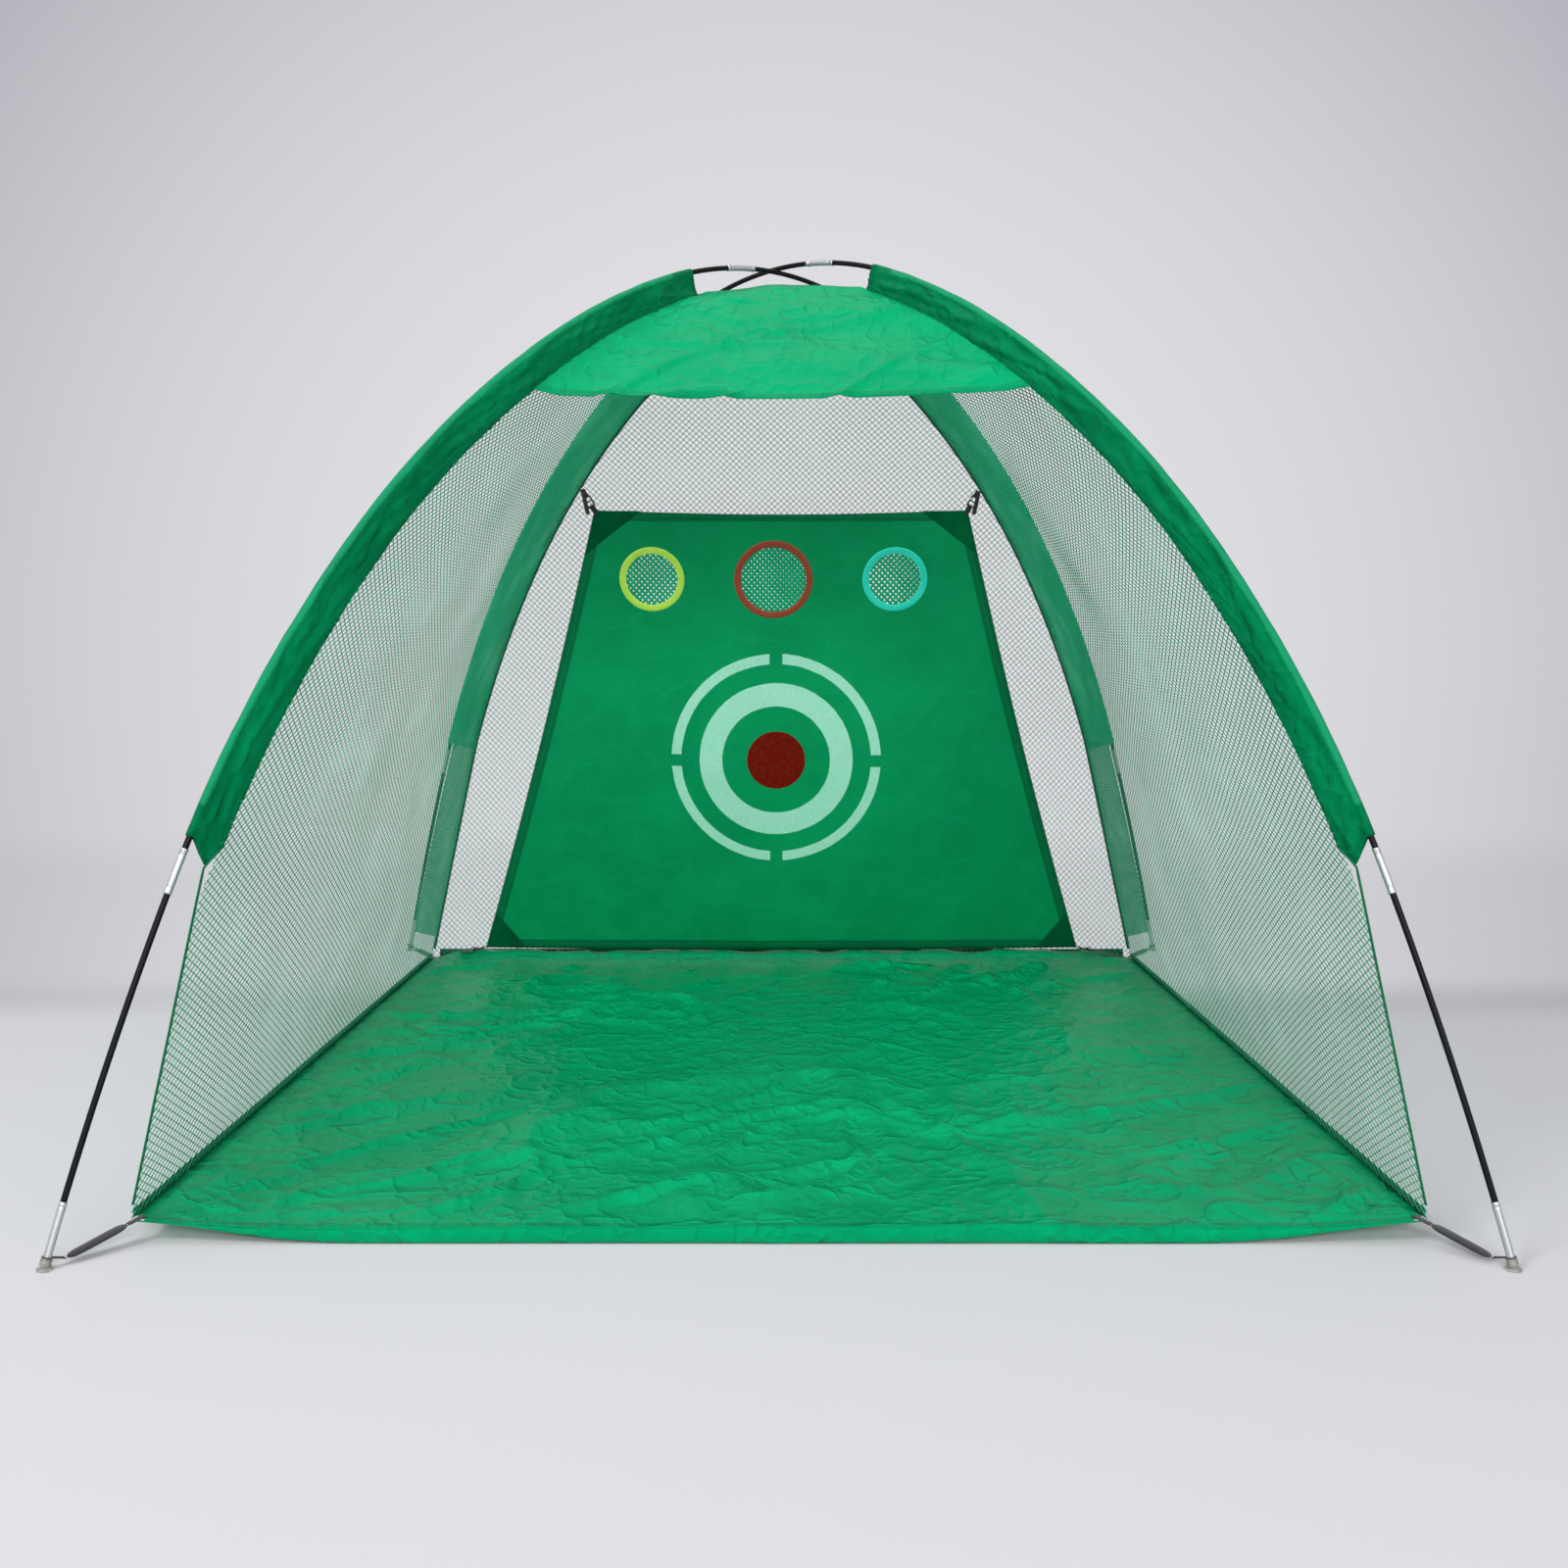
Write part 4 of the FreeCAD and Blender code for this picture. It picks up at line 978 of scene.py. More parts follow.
def makeCanopy():
    s = np.linspace(canopy["start"], sleeves["end"], canopy["rows"])
    rise = (s - s[0]) / (s[-1] - s[0])
    v, u = np.meshgrid(rise, np.linspace(0, 1, canopy["columns"]), indexing="ij")
    inside = -canopy["inset"] - canopy["tuck"] * rise[:, None] ** 2
    left, right = frontSeam(leftPole, s, inside), frontSeam(rightPole, s, inside)
    flat = left[:, None] + (right - left)[:, None] * u[..., None]
    out = unit(np.cross(np.gradient(flat, axis=0), np.gradient(flat, axis=1)))
    out = out * np.sign(-out[..., 1:2])
    x, depth, side = flat[..., 0], v * (s[-1] - s[0]), np.minimum(u, 1 - u)
    pull = 0.5 * creases(x * 2.4 + depth * 2, depth * 9 + x * 1.2, 3, 1.2, 3.6)
    pull += 0.4 * creases(x * 5.2 - depth * 5, depth * 7 - x * 2.4, 5, 1.2, 4.5)
    pull += 0.45 * cloud(x * 2.2, depth * 9, 8) + 0.05 * cloud(x * 19, depth * 27, 9)
    gather = np.cos(depth * 260 + 2.5 * cloud(depth * 20, u * 2, 4)) * np.exp(-side / 0.05)
    lift = canopy["wrinkle"] * (pull - 0.5) * smooth(u / 0.06) * smooth((1 - u) / 0.06)
    lift = lift + canopy["gather"] * gather * smooth(side / 0.01)
    lift = lift - canopy["sag"] * np.sin(math.pi * u) * (1 - v) ** 2
    points = flat + out * lift[..., None]
    points[..., 2] += (canopy["crown"] * v ** 2 - canopy["hang"] * (1 - v)) * np.sin(math.pi * u)
    uv = {"weave": stack(x, depth).reshape(-1, 2),
          "edge": stack(np.minimum(depth, depth.max() - depth), x).reshape(-1, 2)}
    made = piece("canopy_cloth", points.reshape(-1, 3), netting(*u.shape), canopyCloth, uv=uv,
                 replaces=["front_canopy"])
    thicken(made, canopy["thickness"])
    wide = np.linalg.norm(right - left, axis=1)
    slope = float(lengths((left + right) / 2)[-1])


makeCanopy()
print("canopy made")


# Ground mat

matLook = {
    "cells": 205,
    "fold": 0.0120, "cross": 0.0117, "fine": 0.0024, "soft": 0.0040,
    "packed": [-0.42, -0.11, 0.2, 0.51], "packedDepth": 0.0045,      # creases left by folding the mat up
    "pulls": 0.0065, "gather": 0.018, "rearLift": 0.012, "curl": 0.004, "lowest": 0.0002,
    # the mat lies low where the foot of the sheet swings over it
    "swept": (0.778, 0.86), "sweptHalf": 0.84, "room": 0.0065, "roomRise": 0.012,
    "hemEnd": 0.90, "hemTaper": 0.30, "hemRows": 7, "hemLean": 0.003, "hemGap": 0.0012,
}


def matWrinkle(x, y):
    # height of the folds over the smooth mat
    fromSide, fromFront, fromRear = mat["half"] - np.abs(x), y + mat["depth"], mat["depth"] - y
    rear = smooth(fromRear / 0.06)
    bend = 0.7 * cloud(x * 2.2, y * 2.0, 1)
    folds = creases(x * 2.2 + bend + y * 1.1, y * 4.2 - x * 1.7, 2, 1.3, 4.6)
    rise = matLook["fold"] * folds * smooth(cloud(x * 2.3, y * 2.7, 42) + 0.75)
    slant = creases((x + y) * 2.6 + bend, (y - x) * 4.4, 3, 1.2, 5.0)
    slant = slant * smooth(cloud(x * 2.9, y * 2.4, 43) + 0.65)
    back = creases((x - y) * 4.6 - bend, (y + x) * 2.3, 4, 1.2, 5.0)
    back = back * smooth(cloud(x * 2.6, y * 2.9, 44) + 0.65)
    fine = creases(x * 6 + 2 * bend + y * 4, y * 9 - x * 5, 5, 1.2, 3.4)
    fine = fine * (0.4 + 0.6 * smooth(cloud(x * 2.4, y * 2.4, 12) + 0.6))
    rise = rise + matLook["cross"] * (slant + back) + matLook["fine"] * fine
    rise = rise + matLook["soft"] * (1 + cloud(x * 2.6, y * 2.1, 6))
    for at in matLook["packed"]:
        away = np.abs(x - at - 0.01 * cloud(y * 3, at * 9, 15))
        rise = rise + matLook["packedDepth"] * np.exp(-away / 0.012) * (0.6 + 0.4 * cloud(y * 5, at * 5, 16))
    rise = rise * smooth(fromSide / 0.10) * smooth(fromFront / 0.10) * rear
    nearSide = smooth(np.minimum(fromSide, fromFront) / 0.04)
    for end in (-1, 1):
        # creases that fan out from a pulled front corner
        away = np.hypot(x - end * mat["half"], fromFront)
        fan = 0.5 * (1 + np.cos(np.arctan2(fromFront, mat["half"] - end * x) * 26 + 3 * bend))
        rise = rise + matLook["pulls"] * fan * np.exp(-away / 0.4) * smooth(away / 0.12) * nearSide
    gather = 0.5 * (1 + cloud(x * 13 + 2 * bend, 0.3 + fromRear * 3, 21))
    gather = gather + 0.6 * creases(x * 12 + bend, fromRear * 5, 22, 1.5)
    gather = gather * np.exp(-fromRear / 0.11) * smooth(fromSide / 0.08) * (0.45 + 0.55 * rear)
    lifted = smooth(1 - fromRear / 0.09) * smooth(fromSide / 0.12)
    return rise + matLook["gather"] * gather + matLook["rearLift"] * lifted


def makeMat():
    look, cells = matLook, matLook["cells"]
    gy, gx = np.meshgrid(*(np.linspace(-mat[size], mat[size], cells) for size in ("depth", "half")),
                         indexing="ij")
    toSide, toEnd = mat["half"] - np.abs(gx), mat["depth"] - np.abs(gy)
    curl = look["curl"] * np.exp(-(gy + mat["depth"]) / 0.02) * cloud(gx * 6, 0.5, 31)
    z = matHeight(gx, gy) + matWrinkle(gx, gy) + mat["thickness"] + curl
    z = np.maximum(z, mat["thickness"] + look["lowest"])
    low, high = look["swept"]
    room = look["room"] + look["roomRise"] * np.clip((gy - low) / (high - low), 0, 1)
    under = smooth((gy - low) / 0.012 + 1) * smooth((high - gy) / 0.012 + 1)
    under = under * smooth((look["sweptHalf"] - np.abs(gx)) / 0.02)
    z = z + under * (room * (1 - np.exp(-z / room)) - z)
    faces = netting(cells, cells)
    faces = faces[~(toSide + toEnd < mat["cut"]).ravel()[faces].any(1)]
    used, faces = np.unique(faces, return_inverse=True)
    edge = stack(np.minimum(toSide, toEnd), np.where(toSide < toEnd, gy, gx)).reshape(-1, 2)[used]
    weave = stack(gx + mat["half"], gy + mat["depth"]).reshape(-1, 2)[used]
    made = piece("mat_sheet", stack(gx, gy, z).reshape(-1, 3)[used], faces.reshape(-1, 4), matCloth,
                 uv={"weave": weave, "edge": edge}, replaces=["ground_mat"])
    thicken(made, mat["thickness"])
    makeFrontHem(*(rows[0, 1:-1] for rows in (gx, gy, z)))


def makeFrontHem(x, y, z):
    # the cloth that is turned down along the mat's front edge
    drop = (z - matLook["hemGap"]) * smooth((matLook["hemEnd"] - np.abs(x)) / matLook["hemTaper"])
    share = np.linspace(0, 1, matLook["hemRows"])[:, None]
    lean = matLook["hemLean"] * (np.sin(share * 2.4) + 0.25 * cloud(x * 9, share * 2, 33))
    # painted shade: the edge map puts the whole turned-down strip inside the hem, so it takes the hem's
    # darker colour
    uv = {"weave": stack(x + mat["half"], -drop * share).reshape(-1, 2),
          "edge": stack(0.004 + 0.001 * share, x).reshape(-1, 2)}
    hem = piece("mat_front_hem", stack(x, y - lean, z - drop * share).reshape(-1, 3),
                netting(len(share), len(x)), matCloth, uv=uv, replaces=["ground_mat"])
    thicken(hem, mat["thickness"])
    width = float(np.ptp(x))


makeMat()
print("mat made")


# Target sheet

sheet = {
    "bottomHalf": 0.765, "topHalf": 0.430,
    "bottom": (0.850, 0.042), "top": (0.535, 1.135),     # y and z of the two edges
    "hollow": 0.009, "droop": 0.009, "sagBelow": 0.008,  # how far the edges curve between the corners
    "billow": 0.010, "ripple": 0.0068, "pull": 0.0056,
    "thickness": 0.0007, "front": 0.0014, "grid": 0.0125,
    "windowHeight": 0.977, "windowSpacing": 0.284, "windowShift": -0.018,
    "sideWindow": 0.062, "middleWindow": 0.078, "ringWidth": 0.014,
    "patch": 0.105, "patchRows": 20, "patchThickness": 0.0006, "patchInset": 0.0012, "patchLift": 0.0004,
}
sheetBase = np.array([0.0, *sheet["bottom"]])
sheetTop = np.array([0.0, *sheet["top"]])
sheetLength = float(np.linalg.norm(sheetTop - sheetBase))
sheetUp = (sheetTop - sheetBase) / sheetLength
sheetAcross = np.array([1.0, 0, 0])
sheetFront = np.cross(sheetAcross, sheetUp)
windows = [(name, sheet["windowShift"] + x, sheet["windowHeight"], radius) for name, x, radius in
           (("left", -sheet["windowSpacing"], sheet["sideWindow"]), ("middle", 0.0, sheet["middleWindow"]),
            ("right", sheet["windowSpacing"], sheet["sideWindow"]))]


def sheetHalf(v):
    straight = sheet["bottomHalf"] + (sheet["topHalf"] - sheet["bottomHalf"]) * v / sheetLength
    return straight - sheet["hollow"] * np.sin(math.pi * np.clip(v / sheetLength, 0, 1))


def sheetCorner(side, level):
    return np.array([side * float(sheetHalf(level * sheetLength)), level * sheetLength])


def sheetBillow(u, v):
    # how far the cloth stands forward of the plane through its corners
    half = np.maximum(sheetHalf(v), 0.01)
    s, t = np.cos(np.clip(u / half, -1, 1) * math.pi / 2), np.sin(math.pi * np.clip(v / sheetLength, 0, 1))
    ripple = 1.2 + cloud(u * 3.4, v * 2.1, 51) + 0.5 * cloud(u * 7 + v * 2, v * 4, 52)
    ripple = ripple + 0.6 * creases(u * 3.1 + v * 0.8, v * 1.3, 53, 2.0)
    pulls = 1.0
    for side, level in ((-1, 0), (1, 0), (-1, 1), (1, 1)):
        cornerU, cornerV = sheetCorner(side, level)
        away = np.hypot(u - cornerU, v - cornerV)
        angle = np.arctan2(v - cornerV, -side * (u - cornerU))
        pulls = pulls + np.cos(angle * 16 + side) * np.exp(-away / 0.17) * smooth(away / 0.05)
    folds = sheet["ripple"] * ripple + sheet["pull"] * pulls
    return sheet["billow"] * s * t ** 0.8 + folds * s ** 0.5 * t ** 0.5


def sheetPlace(u, v, lift=0.0):
    u, v = np.asarray(u, float)[..., None], np.asarray(v, float)[..., None]
    out = sheetBillow(u, v) + np.asarray(lift)[..., None]
    return sheetBase + u * sheetAcross + v * sheetUp + out * sheetFront


def sheetOutline(count=60):
    # the cloth's rim, with edges that curve in between its corners, as (u, v)
    t = np.linspace(0, 1, count, endpoint=False)
    sag = np.sin(math.pi * t)
    return np.vstack([stack(sheet["bottomHalf"] * (2 * t - 1), -sheet["sagBelow"] * sag),
                      stack(sheetHalf(t * sheetLength), t * sheetLength),
                      stack(sheet["topHalf"] * (1 - 2 * t), sheetLength - sheet["droop"] * sag),
                      stack(-sheetHalf((1 - t) * sheetLength), (1 - t) * sheetLength)])


def triangulate(loops, inner):
    # triangles inside the cloth's rim and outside its windows
    edges, at = [], 0
    for loop in loops:
        edges += [(at + k, at + (k + 1) % len(loop)) for k in range(len(loop))]
        at += len(loop)
    points = [Vector(p) for p in np.vstack([*loops, inner])]
    found = geometry.delaunay_2d_cdt(points, edges, [], 0, 1e-6, False)
    flat = np.array([tuple(p) for p in found[0]])
    faces = np.array([f for f in found[2] if len(f) == 3])
    u, v = flat[faces].mean(1).T
    keep = v > -sheet["sagBelow"] * np.cos(math.pi / 2 * u / sheet["bottomHalf"])
    keep &= v < sheetLength - sheet["droop"] * np.cos(math.pi / 2 * np.clip(u / sheet["topHalf"], -1, 1))
    keep &= np.abs(u) < sheetHalf(v)
    for name, x, y, radius in windows:
        keep &= np.hypot(u - x, v - y) > radius * 0.999
    return flat, faces[keep]


def makeSheet():
    grid = sheet["grid"]
    gu, gv = (g.ravel() for g in np.meshgrid(np.arange(-sheet["bottomHalf"], sheet["bottomHalf"], grid),
                                             np.arange(grid / 2, sheetLength, grid)))
    keep = (np.abs(gu) < sheetHalf(gv) - grid * 0.5) & (gv < sheetLength - sheet["droop"] - grid * 0.4)
    for name, x, y, radius in windows:
        keep &= np.hypot(gu - x, gv - y) > radius + grid * 0.45
    angle = around(72)
    circles = [stack(x + radius * np.cos(angle), y + radius * np.sin(angle))
               for name, x, y, radius in windows]
    flat, faces = triangulate([sheetOutline(), *circles], stack(gu[keep], gv[keep]))
    u, v = flat.T
    toSide, toEnd = (sheetHalf(v) - np.abs(u)) * 0.96, np.minimum(v, sheetLength - v)
    uv = {"weave": flat, "edge": stack(np.minimum(toSide, toEnd), np.where(toSide < toEnd, v, u))}
    made = piece("target_cloth_sheet", sheetPlace(u, v, sheet["front"] - sheet["thickness"] / 2), faces,
                 targetCloth, "target", uv=uv, replaces=["target_sheet"])
    thicken(made, sheet["thickness"])
    area = (sheet["bottomHalf"] + sheet["topHalf"]) * sheetLength
    area -= sum(math.pi * radius ** 2 for name, x, y, radius in windows)
    print("target sheet:", len(faces), "faces")


windowLook = {
    "sides": 96, "across": 9, "rise": 0.0011, "overlap": 0.0015, "lift": 0.0002, "under": 0.0012,
    "cell": 0.0134, "high": 0.0142, "cord": 0.0038, "middleShare": 1.2, "cross": 0.0006, "behind": -0.0014,
    "flat": 0.35, "netReach": 0.6, "shortest": 4, "warp": 0.0004,
}


def makeWindow(name, x, y, radius):
    look, inner, outer = windowLook, radius - windowLook["overlap"], radius + sheet["ringWidth"]
    share, angle = np.linspace(0, 1, look["across"])[:, None], around(look["sides"])
    r = inner + (outer - inner) * share
    u, v = x + r * np.cos(angle), y + r * np.sin(angle)
    lift = sheet["front"] + look["lift"] + look["rise"] * np.sin(math.pi * share) ** 0.5 + 0 * u
    top = sheetPlace(u, v, lift)
    base = sheetPlace(u[[-1, 0]], v[[-1, 0]], sheet["front"] - look["under"])
    rows = look["across"] + 3
    toRim = np.minimum(share, 1 - share) * (outer - inner)
    toRim = np.repeat(np.r_[toRim[:, 0], 0, 0, 0], look["sides"])
    turn = np.tile(angle * radius, rows)
    piece(f"{name}_ring_tape", np.concatenate([top, base, top[:1]]).reshape(-1, 3),
          netting(rows, look["sides"], True), ringTapes[name], "target",
          uv={"edge": stack(toRim, turn), "weave": stack(turn, toRim)}, replaces=[f"{name}_window_ring"])
    reach = radius + sheet["ringWidth"] * look["netReach"]
    cord = look["cord"] * (look["middleShare"] if name == "middle" else 1.0)
    bundle = Bundle()
    for sign in (-1, 1):
        for start in np.arange(-3 * reach, 3 * reach, look["cell"]):
            v = np.arange(-reach, reach, look["high"] / 4)
            u = start + sign * look["cell"] / look["high"] * v
            u = u + look["warp"] * cloud(v * 60, start * 40, 90 + sign)
            pick = np.flatnonzero(np.hypot(u, v) < reach)
            if len(pick) < look["shortest"]:
                continue
            pick = np.unique(np.r_[pick[::4], pick[-1]])
            lift = look["behind"] + sign * look["cross"]
            bundle.tube(sheetPlace(x + u[pick], y + v[pick], lift), sheetFront, cord, squeeze=look["flat"])
    bundle.made(f"{name}_window_mesh", windowCord, body="target", slot="window_mesh",
                replaces=[f"{name}_window_net"])


def makePatches():
    # doubled triangles of cloth over the corners of the sheet
    count, size = sheet["patchRows"], sheet["patch"]
    index = {}
    for i in range(count + 1):
        for j in range(count + 1 - i):
            index[i, j] = len(index)
    faces = []
    for i, j in index:
        if i + j < count:
            faces.append((index[i, j], index[i + 1, j], index[i, j + 1]))
        if i + j < count - 1:
            faces.append((index[i + 1, j], index[i + 1, j + 1], index[i, j + 1]))
    i, j = np.array(list(index)).T[..., None]
    for k, (side, level) in enumerate([(-1, 0), (1, 0), (1, 1), (-1, 1)], 1):
        corner = sheetCorner(side, level)
        v = corner[1] + (-0.1 if level else 0.1)
        along = np.array([-side, 0.0])
        edge = unit(np.array([side * float(sheetHalf(v)), v]) - corner)
        flat = corner + (along * i + edge * j) * (size / count) + (along + edge) * sheet["patchInset"]
        place = sheetPlace(flat[:, 0], flat[:, 1], sheet["front"] + sheet["patchLift"])
        away = np.abs((flat - corner) @ along) + np.linalg.norm(flat - corner, axis=1) * 0.4
        uv = {"weave": flat, "edge": stack(np.abs(size - away) * 0.5 + 0.004, flat[:, 0] - flat[:, 1])}
        made = piece(f"corner_patch_{k}", place, faces, patchCloth, "target", uv=uv,
                     replaces=["corner_patches"])
        thicken(made, sheet["patchThickness"])


makeSheet()
for window in windows:
    makeWindow(*window)
makePatches()
print("target sheet made")


# Loops, hooks and straps at the corners of the sheet

hanger = {
    "hookLength": 0.027, "hookBar": 0.0026, "loop": 0.009, "standoff": 0.0095,
    "strapWall": 0.0012, "strapGap": 0.00075, "strapWidth": 0.011,
    "topAnchor": 1.410, "seamGap": 0.0004, "bottomInset": 0.012, "sheetGap": 0.00075, "overMat": 0.0015,
    "sewn": 0.010, "above": 0.0016, "below": 0.0004,       # the loop's two ends on the cloth
    "stitched": 0.009,
    # the strap's loose end: where it starts, how far it goes back, stands off, bows and falls
    "tailFrom": 0.012, "tailBack": 0.022, "tailOff": 0.0014, "tailBow": 0.004, "tailFall": 0.030,
    "tailSlender": 0.94, "lowFall": 0.12,
}


def cornerLine(side, level):
    # from a corner of the sheet to what carries it, and the side that the strap faces
    inner = sheetBase + sheetFront * hanger["sheetGap"]
    if level == "top":
        pole = leftPole if side > 0 else rightPole
        anchor, beyond = rearSeam(pole, np.array([0, 0.005]) + hanger["topAnchor"], hanger["seamGap"])
        corner = inner + sheetUp * sheetLength + side * sheet["topHalf"] * sheetAcross
        face = unit(np.cross(sheetAcross, beyond - anchor))
        return corner, anchor + unit(corner - anchor) * hanger["standoff"], face
    inset = mat["cut"] + hanger["bottomInset"]
    strap = hanger["hookBar"] / 2 + hanger["strapGap"] + hanger["strapWall"]
    x, y = mat["half"] - inset, mat["depth"] - inset
    height = float(matHeight(x, y)) + hanger["overMat"] + strap + hanger["seamGap"]
    corner = inner + side * sheet["bottomHalf"] * sheetAcross
    return corner, np.array([side * x, y, height]), np.array([0, 0, 1.0])


def halfTurn(steps=9):
    angle = np.linspace(math.pi / 2, -math.pi / 2, steps)
    return stack(np.cos(angle), np.sin(angle))


def racetrack(start, end, radius):
    # a closed path in the strap's own plane: two straights and two half turns
    turn = halfTurn() * radius
    return np.vstack([turn + [end, 0], -turn + [start, 0]])


def makeHanger(level, side, name):
    radius = hanger["hookBar"] / 2 + hanger["strapGap"] + hanger["strapWall"] / 2
    farBar = hanger["loop"] + hanger["hookLength"] - hanger["hookBar"] / 2
    width, wall, above = hanger["strapWidth"], hanger["strapWall"], level == "top"
    corner, anchor, face = cornerLine(side, level)
    x = unit(anchor - corner)
    y = unit(np.cross(face, x))
    z = np.cross(x, y)
    reach = float(np.linalg.norm(anchor - corner))

    def along(path):
        return corner + path[:, :1] * x + path[:, 1:] * z

    nose = halfTurn() * radius + [hanger["loop"] + hanger["hookBar"] / 2, 0]
    loop = np.vstack([[-hanger["sewn"], hanger["above"]], [0.001, radius], nose, [0.001, -radius],
                      [-hanger["sewn"], -hanger["below"]]])
    facts = {"edge": hanger["stitched"], "body": "target"}
    Bundle().ribbon(along(loop), y, width, wall).made(f"{level}_{name}_sheet_loop", webbing,
                                                      replaces=["sheet_corner_loops"], **facts)
    share = np.linspace(0, 1, 12)
    drop = stack(farBar + hanger["tailFrom"] - hanger["tailBack"] * share,
                 radius + hanger["tailOff"] + hanger["tailBow"] * np.sin(share * 3.0))
    fall = np.array([0, -0.004, -1.0]) * (hanger["tailFall"] * share ** 1.7)[:, None]
    fall = fall * (1.0 if above else hanger["lowFall"])
    bundle = Bundle().ribbon(along(racetrack(farBar, reach, radius)), y, width, wall, closed=True)
    bundle.ribbon(along(drop) + fall, y, width * hanger["tailSlender"], wall)
    made = bundle.made(f"{level}_{name}_strap_web", webbing, ride=above,
                       replaces=["top_straps" if above else f"bottom_{name}_strap"], **facts)
    if not above:
        tuple(corner + x * farBar)
        tuple(corner + x * reach)
        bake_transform(made)


for level in ("top", "bottom"):
    makeHanger(level, -1, "left")
    makeHanger(level, 1, "right")
    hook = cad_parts[f"{level}_hooks"]
    hook.data.materials.clear()
    hook.data.materials.append(hookPlastic)
print("hangers made")


# Ties between the mat's corners and the feet

ties = {
    "ringAt": 0.012, "band": 0.0009, "loop": 0.026, "ringGap": 0.0003, "cornerHeight": 0.00075,
    "tabWidth": 0.021, "tabThickness": 0.0072, "tabRows": 40, "tabSides": 24, "puff": 0.06,
    "tabFrom": 0.0008, "tabShort": 0.0015,         # what is left free at its two ends
    "strapLength": 0.016, "strapWidth": 0.012, "strapThickness": 0.0014, "ring": 0.0028, "ringWire": 0.0009,
    # the elastic: its neck beside the tube, half its spread there and at the tab, and the knot's size
    "neck": 0.006, "neckHalf": 0.0013, "tabHalf": 0.0034, "knot": (0.002, 0.0026), "knotShare": 1.1,
}


def padShape(start, end, x, y, z, origin):
    # a stuffed tab: oval in plan, thickest along its middle, pinched at the stitched rim
    rows, sides = ties["tabRows"], ties["tabSides"]
    share = (1 - np.cos(np.linspace(0.02, math.pi - 0.02, rows))) / 2
    middle = np.abs(2 * share - 1)
    half = ties["tabWidth"] / 2 * (1 - middle ** 7) ** 0.5
    thick = ties["tabThickness"] / 2 * (1 - middle ** 6) ** 0.5
    angle, place = around(sides), start + (end - start) * share
    puff = 1 + ties["puff"] * cloud(share[:, None] * 7, angle * 1.1, 17)
    wide = half[:, None] * blunt(np.cos(angle), 0.9)
    tall = thick[:, None] * blunt(np.sin(angle), 1.15) * puff
    points = origin + place[:, None, None] * x + wide[..., None] * y + tall[..., None] * z
    weave = stack(place[:, None], half[:, None] * np.sin(angle / 2)).reshape(-1, 2)
    first = np.arange(sides)
    faces = netting(rows, sides, True).tolist() + [list(first[::-1]), list(first + (rows - 1) * sides)]
    return points.reshape(-1, 3), faces, weave


def makeTie(pole, sign, s, name):
    point, along, inside = (part[0] for part in pole.bare(s))
    x0, y0 = sign * (mat["half"] - mat["cut"] / 2), sign * (mat["depth"] - mat["cut"] / 2)
    corner = np.array([x0, y0, float(matHeight(abs(x0), y0)) + ties["cornerHeight"]])
    way = corner - point
    way = unit(way - along * (way @ along))
    tabEnd = point + way * ties["loop"]
    x = unit(tabEnd - corner)
    y = unit(np.cross([0, 0, 1.0], x))
    z, over, strap = np.cross(x, y), pole.over, ties["strapLength"]
    lead = corner + np.linspace(-0.010, strap - 0.002, 8)[:, None] * x
    bundle = Bundle().ribbon(lead * over, y * over, ties["strapWidth"], ties["strapThickness"])
    ring = racetrack(strap - 0.004, strap + 0.006, ties["ring"])
    ring = corner + ring[:, :1] * x + ring[:, 1:] * y
    bundle.tube(ring * over, z * over, ties["ringWire"], 8, closed=True)
    bundle.made(f"{name}_corner_strap", webbing, edge=hanger["stitched"], replaces=["corner_straps"])
    reach = float(np.linalg.norm(corner - tabEnd))
    points, faces, weave = padShape(strap + ties["tabFrom"], reach - ties["tabShort"], x, y, z, corner)
    made = piece(f"{name}_pull_tab", points * over, faces, padding, uv={"weave": weave, "edge": weave},
                 replaces=["pull_tabs"])
    band, tube = ties["band"], metalTubes["endRadius"] + ties["ringGap"]
    across = unit(np.cross(along, way))
    angle = np.linspace(math.pi / 2, 3 * math.pi / 2, 14)[:, None]
    hoop = point + (np.cos(angle) * way + np.sin(angle) * across) * (tube + band)
    neck, tail = point + way * (tube + ties["neck"]), tabEnd - way * 0.0005
    narrow, wide = across * ties["neckHalf"], across * ties["tabHalf"]
    path = np.vstack([tail + wide, neck + narrow, hoop, neck - narrow, tail - wide])
    at = lengths(path)
    bundle = Bundle().tube(flow(path, at, np.linspace(0, at[-1], 48)) * over, along * over, band, 8)
    angle, (deep, broad) = around(14)[:, None], ties["knot"]
    knot = neck + way * (deep * np.cos(angle)) + across * (broad * np.sin(angle))
    bundle.tube(knot * over, along * over, band * ties["knotShare"], 8, closed=True)
    bundle.made(f"{name}_tie_loop", elastic, replaces=["tie_bands"])


for pole, near, far in ((leftPole, "left", "right"), (rightPole, "right", "left")):
    makeTie(pole, -1, ties["ringAt"], f"front_{near}")
    makeTie(pole, 1, pole.length - ties["ringAt"], f"rear_{far}")
print("ties made")


# Studio

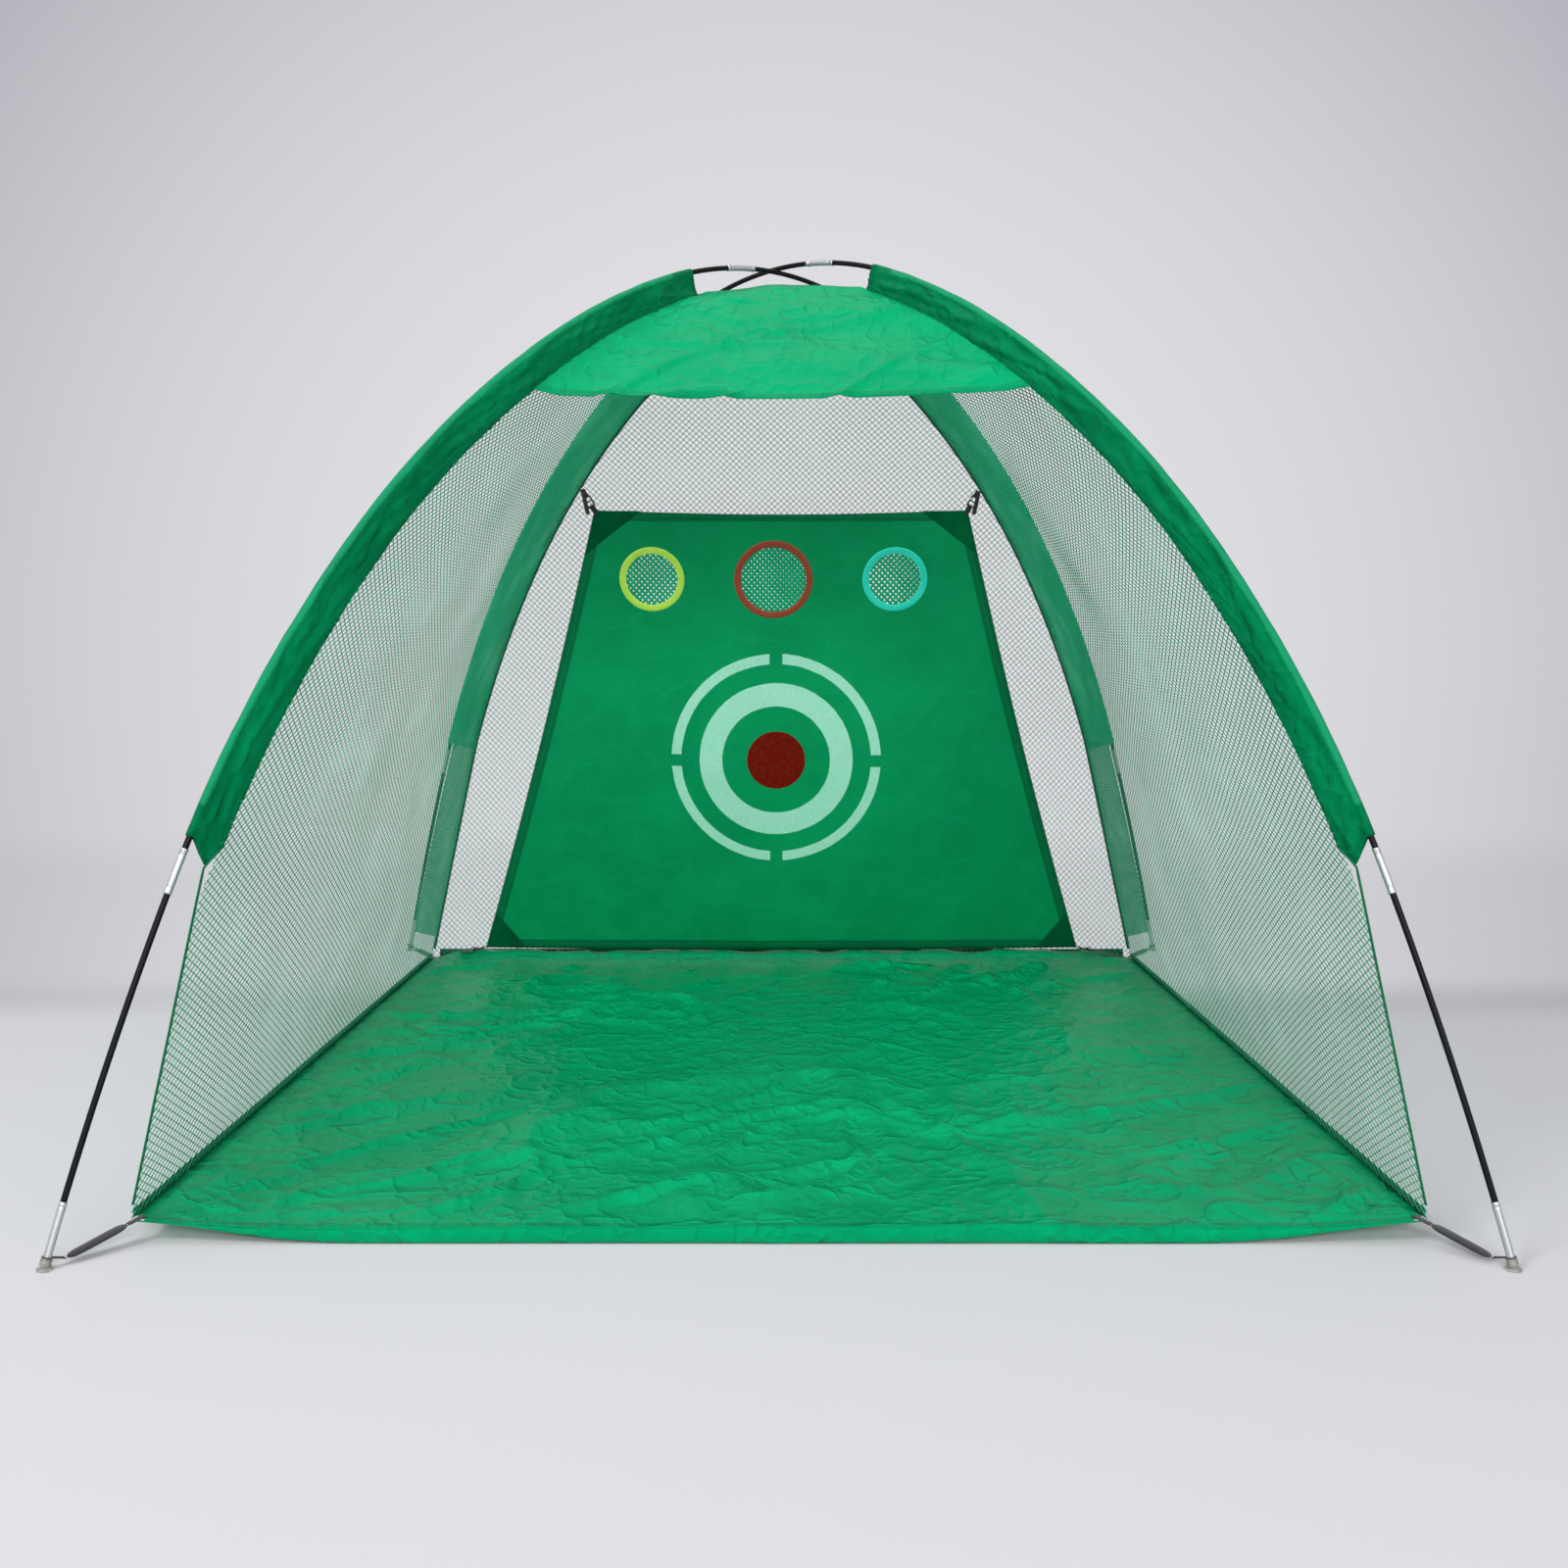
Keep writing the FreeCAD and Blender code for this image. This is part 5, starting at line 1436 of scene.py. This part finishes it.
studio = {
    # middle and edge: painted light of the backdrop, bright in its middle and darker towards its edges
    "air": "d2d1d7", "paper": "dfdfe3", "middle": "e4e4e8", "edge": "b8b7bf",
    "half": 9.0, "bend": 1.9, "bendAt": 3.6,
    "step": (0.24, 0.56),                # where the floor's colour turns into the wall's painted, darker light
    "wallFrom": (0.35, 0.75),            # from here on the camera mostly sees the backdrop's glow of painted light, not the lamps' light on it
    "wallAlone": (2.0, 3.5), "wallShare": 0.8,
    "world": 0.27, "worldTint": (0.98, 0.98, 1.0, 1.0),
    "lamps": {                           # power, size, place and the point it faces
        "key": (250.0, (2.4, 2.0), (-4.8, -4.6, 5.6), (0, 0, 0.5)),
        "front": (570.0, (4.6, 3.2), (0.9, -9.3, 3.9), (0, 0.4, 0.6)),
        "fill": (10.0, (3.0, 2.0), (3.4, -3.0, 2.4), (0, 0, 0.6)),
        "top": (40.0, (3.4, 3.4), (-0.3, -0.2, 4.4), (0, 0, 0)),
    },
}
camera = {"place": (0.0067, -2.950, 0.875), "pitch": 0.107, "focal": 1522.6, "picture": 1600}


def makeStage():
    half, bend, start = studio["half"], studio["bend"], studio["bendAt"]
    angle = np.linspace(0, math.pi / 2, 14)[1:]
    curve = stack(start + bend * np.sin(angle), bend - bend * np.cos(angle))
    profile = np.vstack([[-half, 0.0], [0.0, 0.0], [start, 0.0], curve, [start + bend, half]])
    points = [(x, y, z - 0.0004) for y, z in profile for x in (-half, half)]
    mesh = bpy.data.meshes.new("studio_floor")
    mesh.from_pydata(points, [], netting(len(profile), 2).tolist())
    mesh.polygons.foreach_set("use_smooth", [True] * len(mesh.polygons))
    floor = bpy.data.objects.new("studio_floor", mesh)
    bpy.context.scene.collection.objects.link(floor)
    finish = Finish("studio_paper", studio["paper"], 0.9, Specular_IOR_Level=0.1)
    x, y, z = (finish.add("ShaderNodeSeparateXYZ", {}, {0: finish.place()}, k) for k in range(3))
    slope, height = x / (y + 3.0).math("MAXIMUM", 0.5), z - 0.6
    # painted light on the backdrop: brighter in the middle, darker to the sides and away from 0.6 m up
    wall = finish.mix(slope * slope * 2.4 + height * height * 0.034, studio["middle"], studio["edge"])
    base = finish.mix(finish.ramp(y, *studio["step"]), studio["paper"], wall)
    finish.shade(Base_Color=finish.mix(finish.noise(2.0) * 0.03, base, studio["edge"]))
    # the backdrop glows with this painted light, though it is no lamp
    backdropPaintedGlow = finish.add("ShaderNodeEmission", {}, {"Color": wall, "Strength": 1.0})
    share = finish.ramp(y, *studio["wallFrom"]) * studio["wallShare"]
    share = share + finish.ramp(y, *studio["wallAlone"]) * (1 - studio["wallShare"])
    finish.blendInto("Material Output", finish.seen() * share, finish.shader, backdropPaintedGlow)
    mesh.materials.append(finish.material)


def makeLights():
    for name, (power, size, place, look) in studio["lamps"].items():
        data = bpy.data.lights.new(f"{name}_lamp", "AREA")
        data.energy, data.shape = power, "RECTANGLE"
        data.size, data.size_y = size
        made = bpy.data.objects.new(f"{name}_lamp", data)
        made.location = place
        made.rotation_euler = (Vector(look) - Vector(place)).to_track_quat("-Z", "Y").to_euler()
        bpy.context.scene.collection.objects.link(made)
    world = bpy.data.worlds.new("studio_air")
    world.use_nodes = True
    sky, air = Nodes(world.node_tree), world.node_tree.nodes["Background"]
    sky.feed(air, {"Color": studio["worldTint"], "Strength": studio["world"]})
    seen = sky.add("ShaderNodeBackground", {}, {"Color": studio["air"]})
    sky.blendInto("World Output", sky.seen(), air, seen)
    bpy.context.scene.world = world
    bpy.context.scene.view_settings.view_transform = "Standard"


def makeCamera():
    data = bpy.data.cameras.new("camera")
    data.sensor_width = 36.0
    data.lens = camera["focal"] / camera["picture"] * data.sensor_width
    made = bpy.data.objects.new("camera", data)
    made.location = camera["place"]
    made.rotation_euler = (math.pi / 2 - camera["pitch"], 0, 0)
    bpy.context.scene.collection.objects.link(made)
    bpy.context.scene.camera = made


makeStage()
makeLights()
makeCamera()
print("studio made")
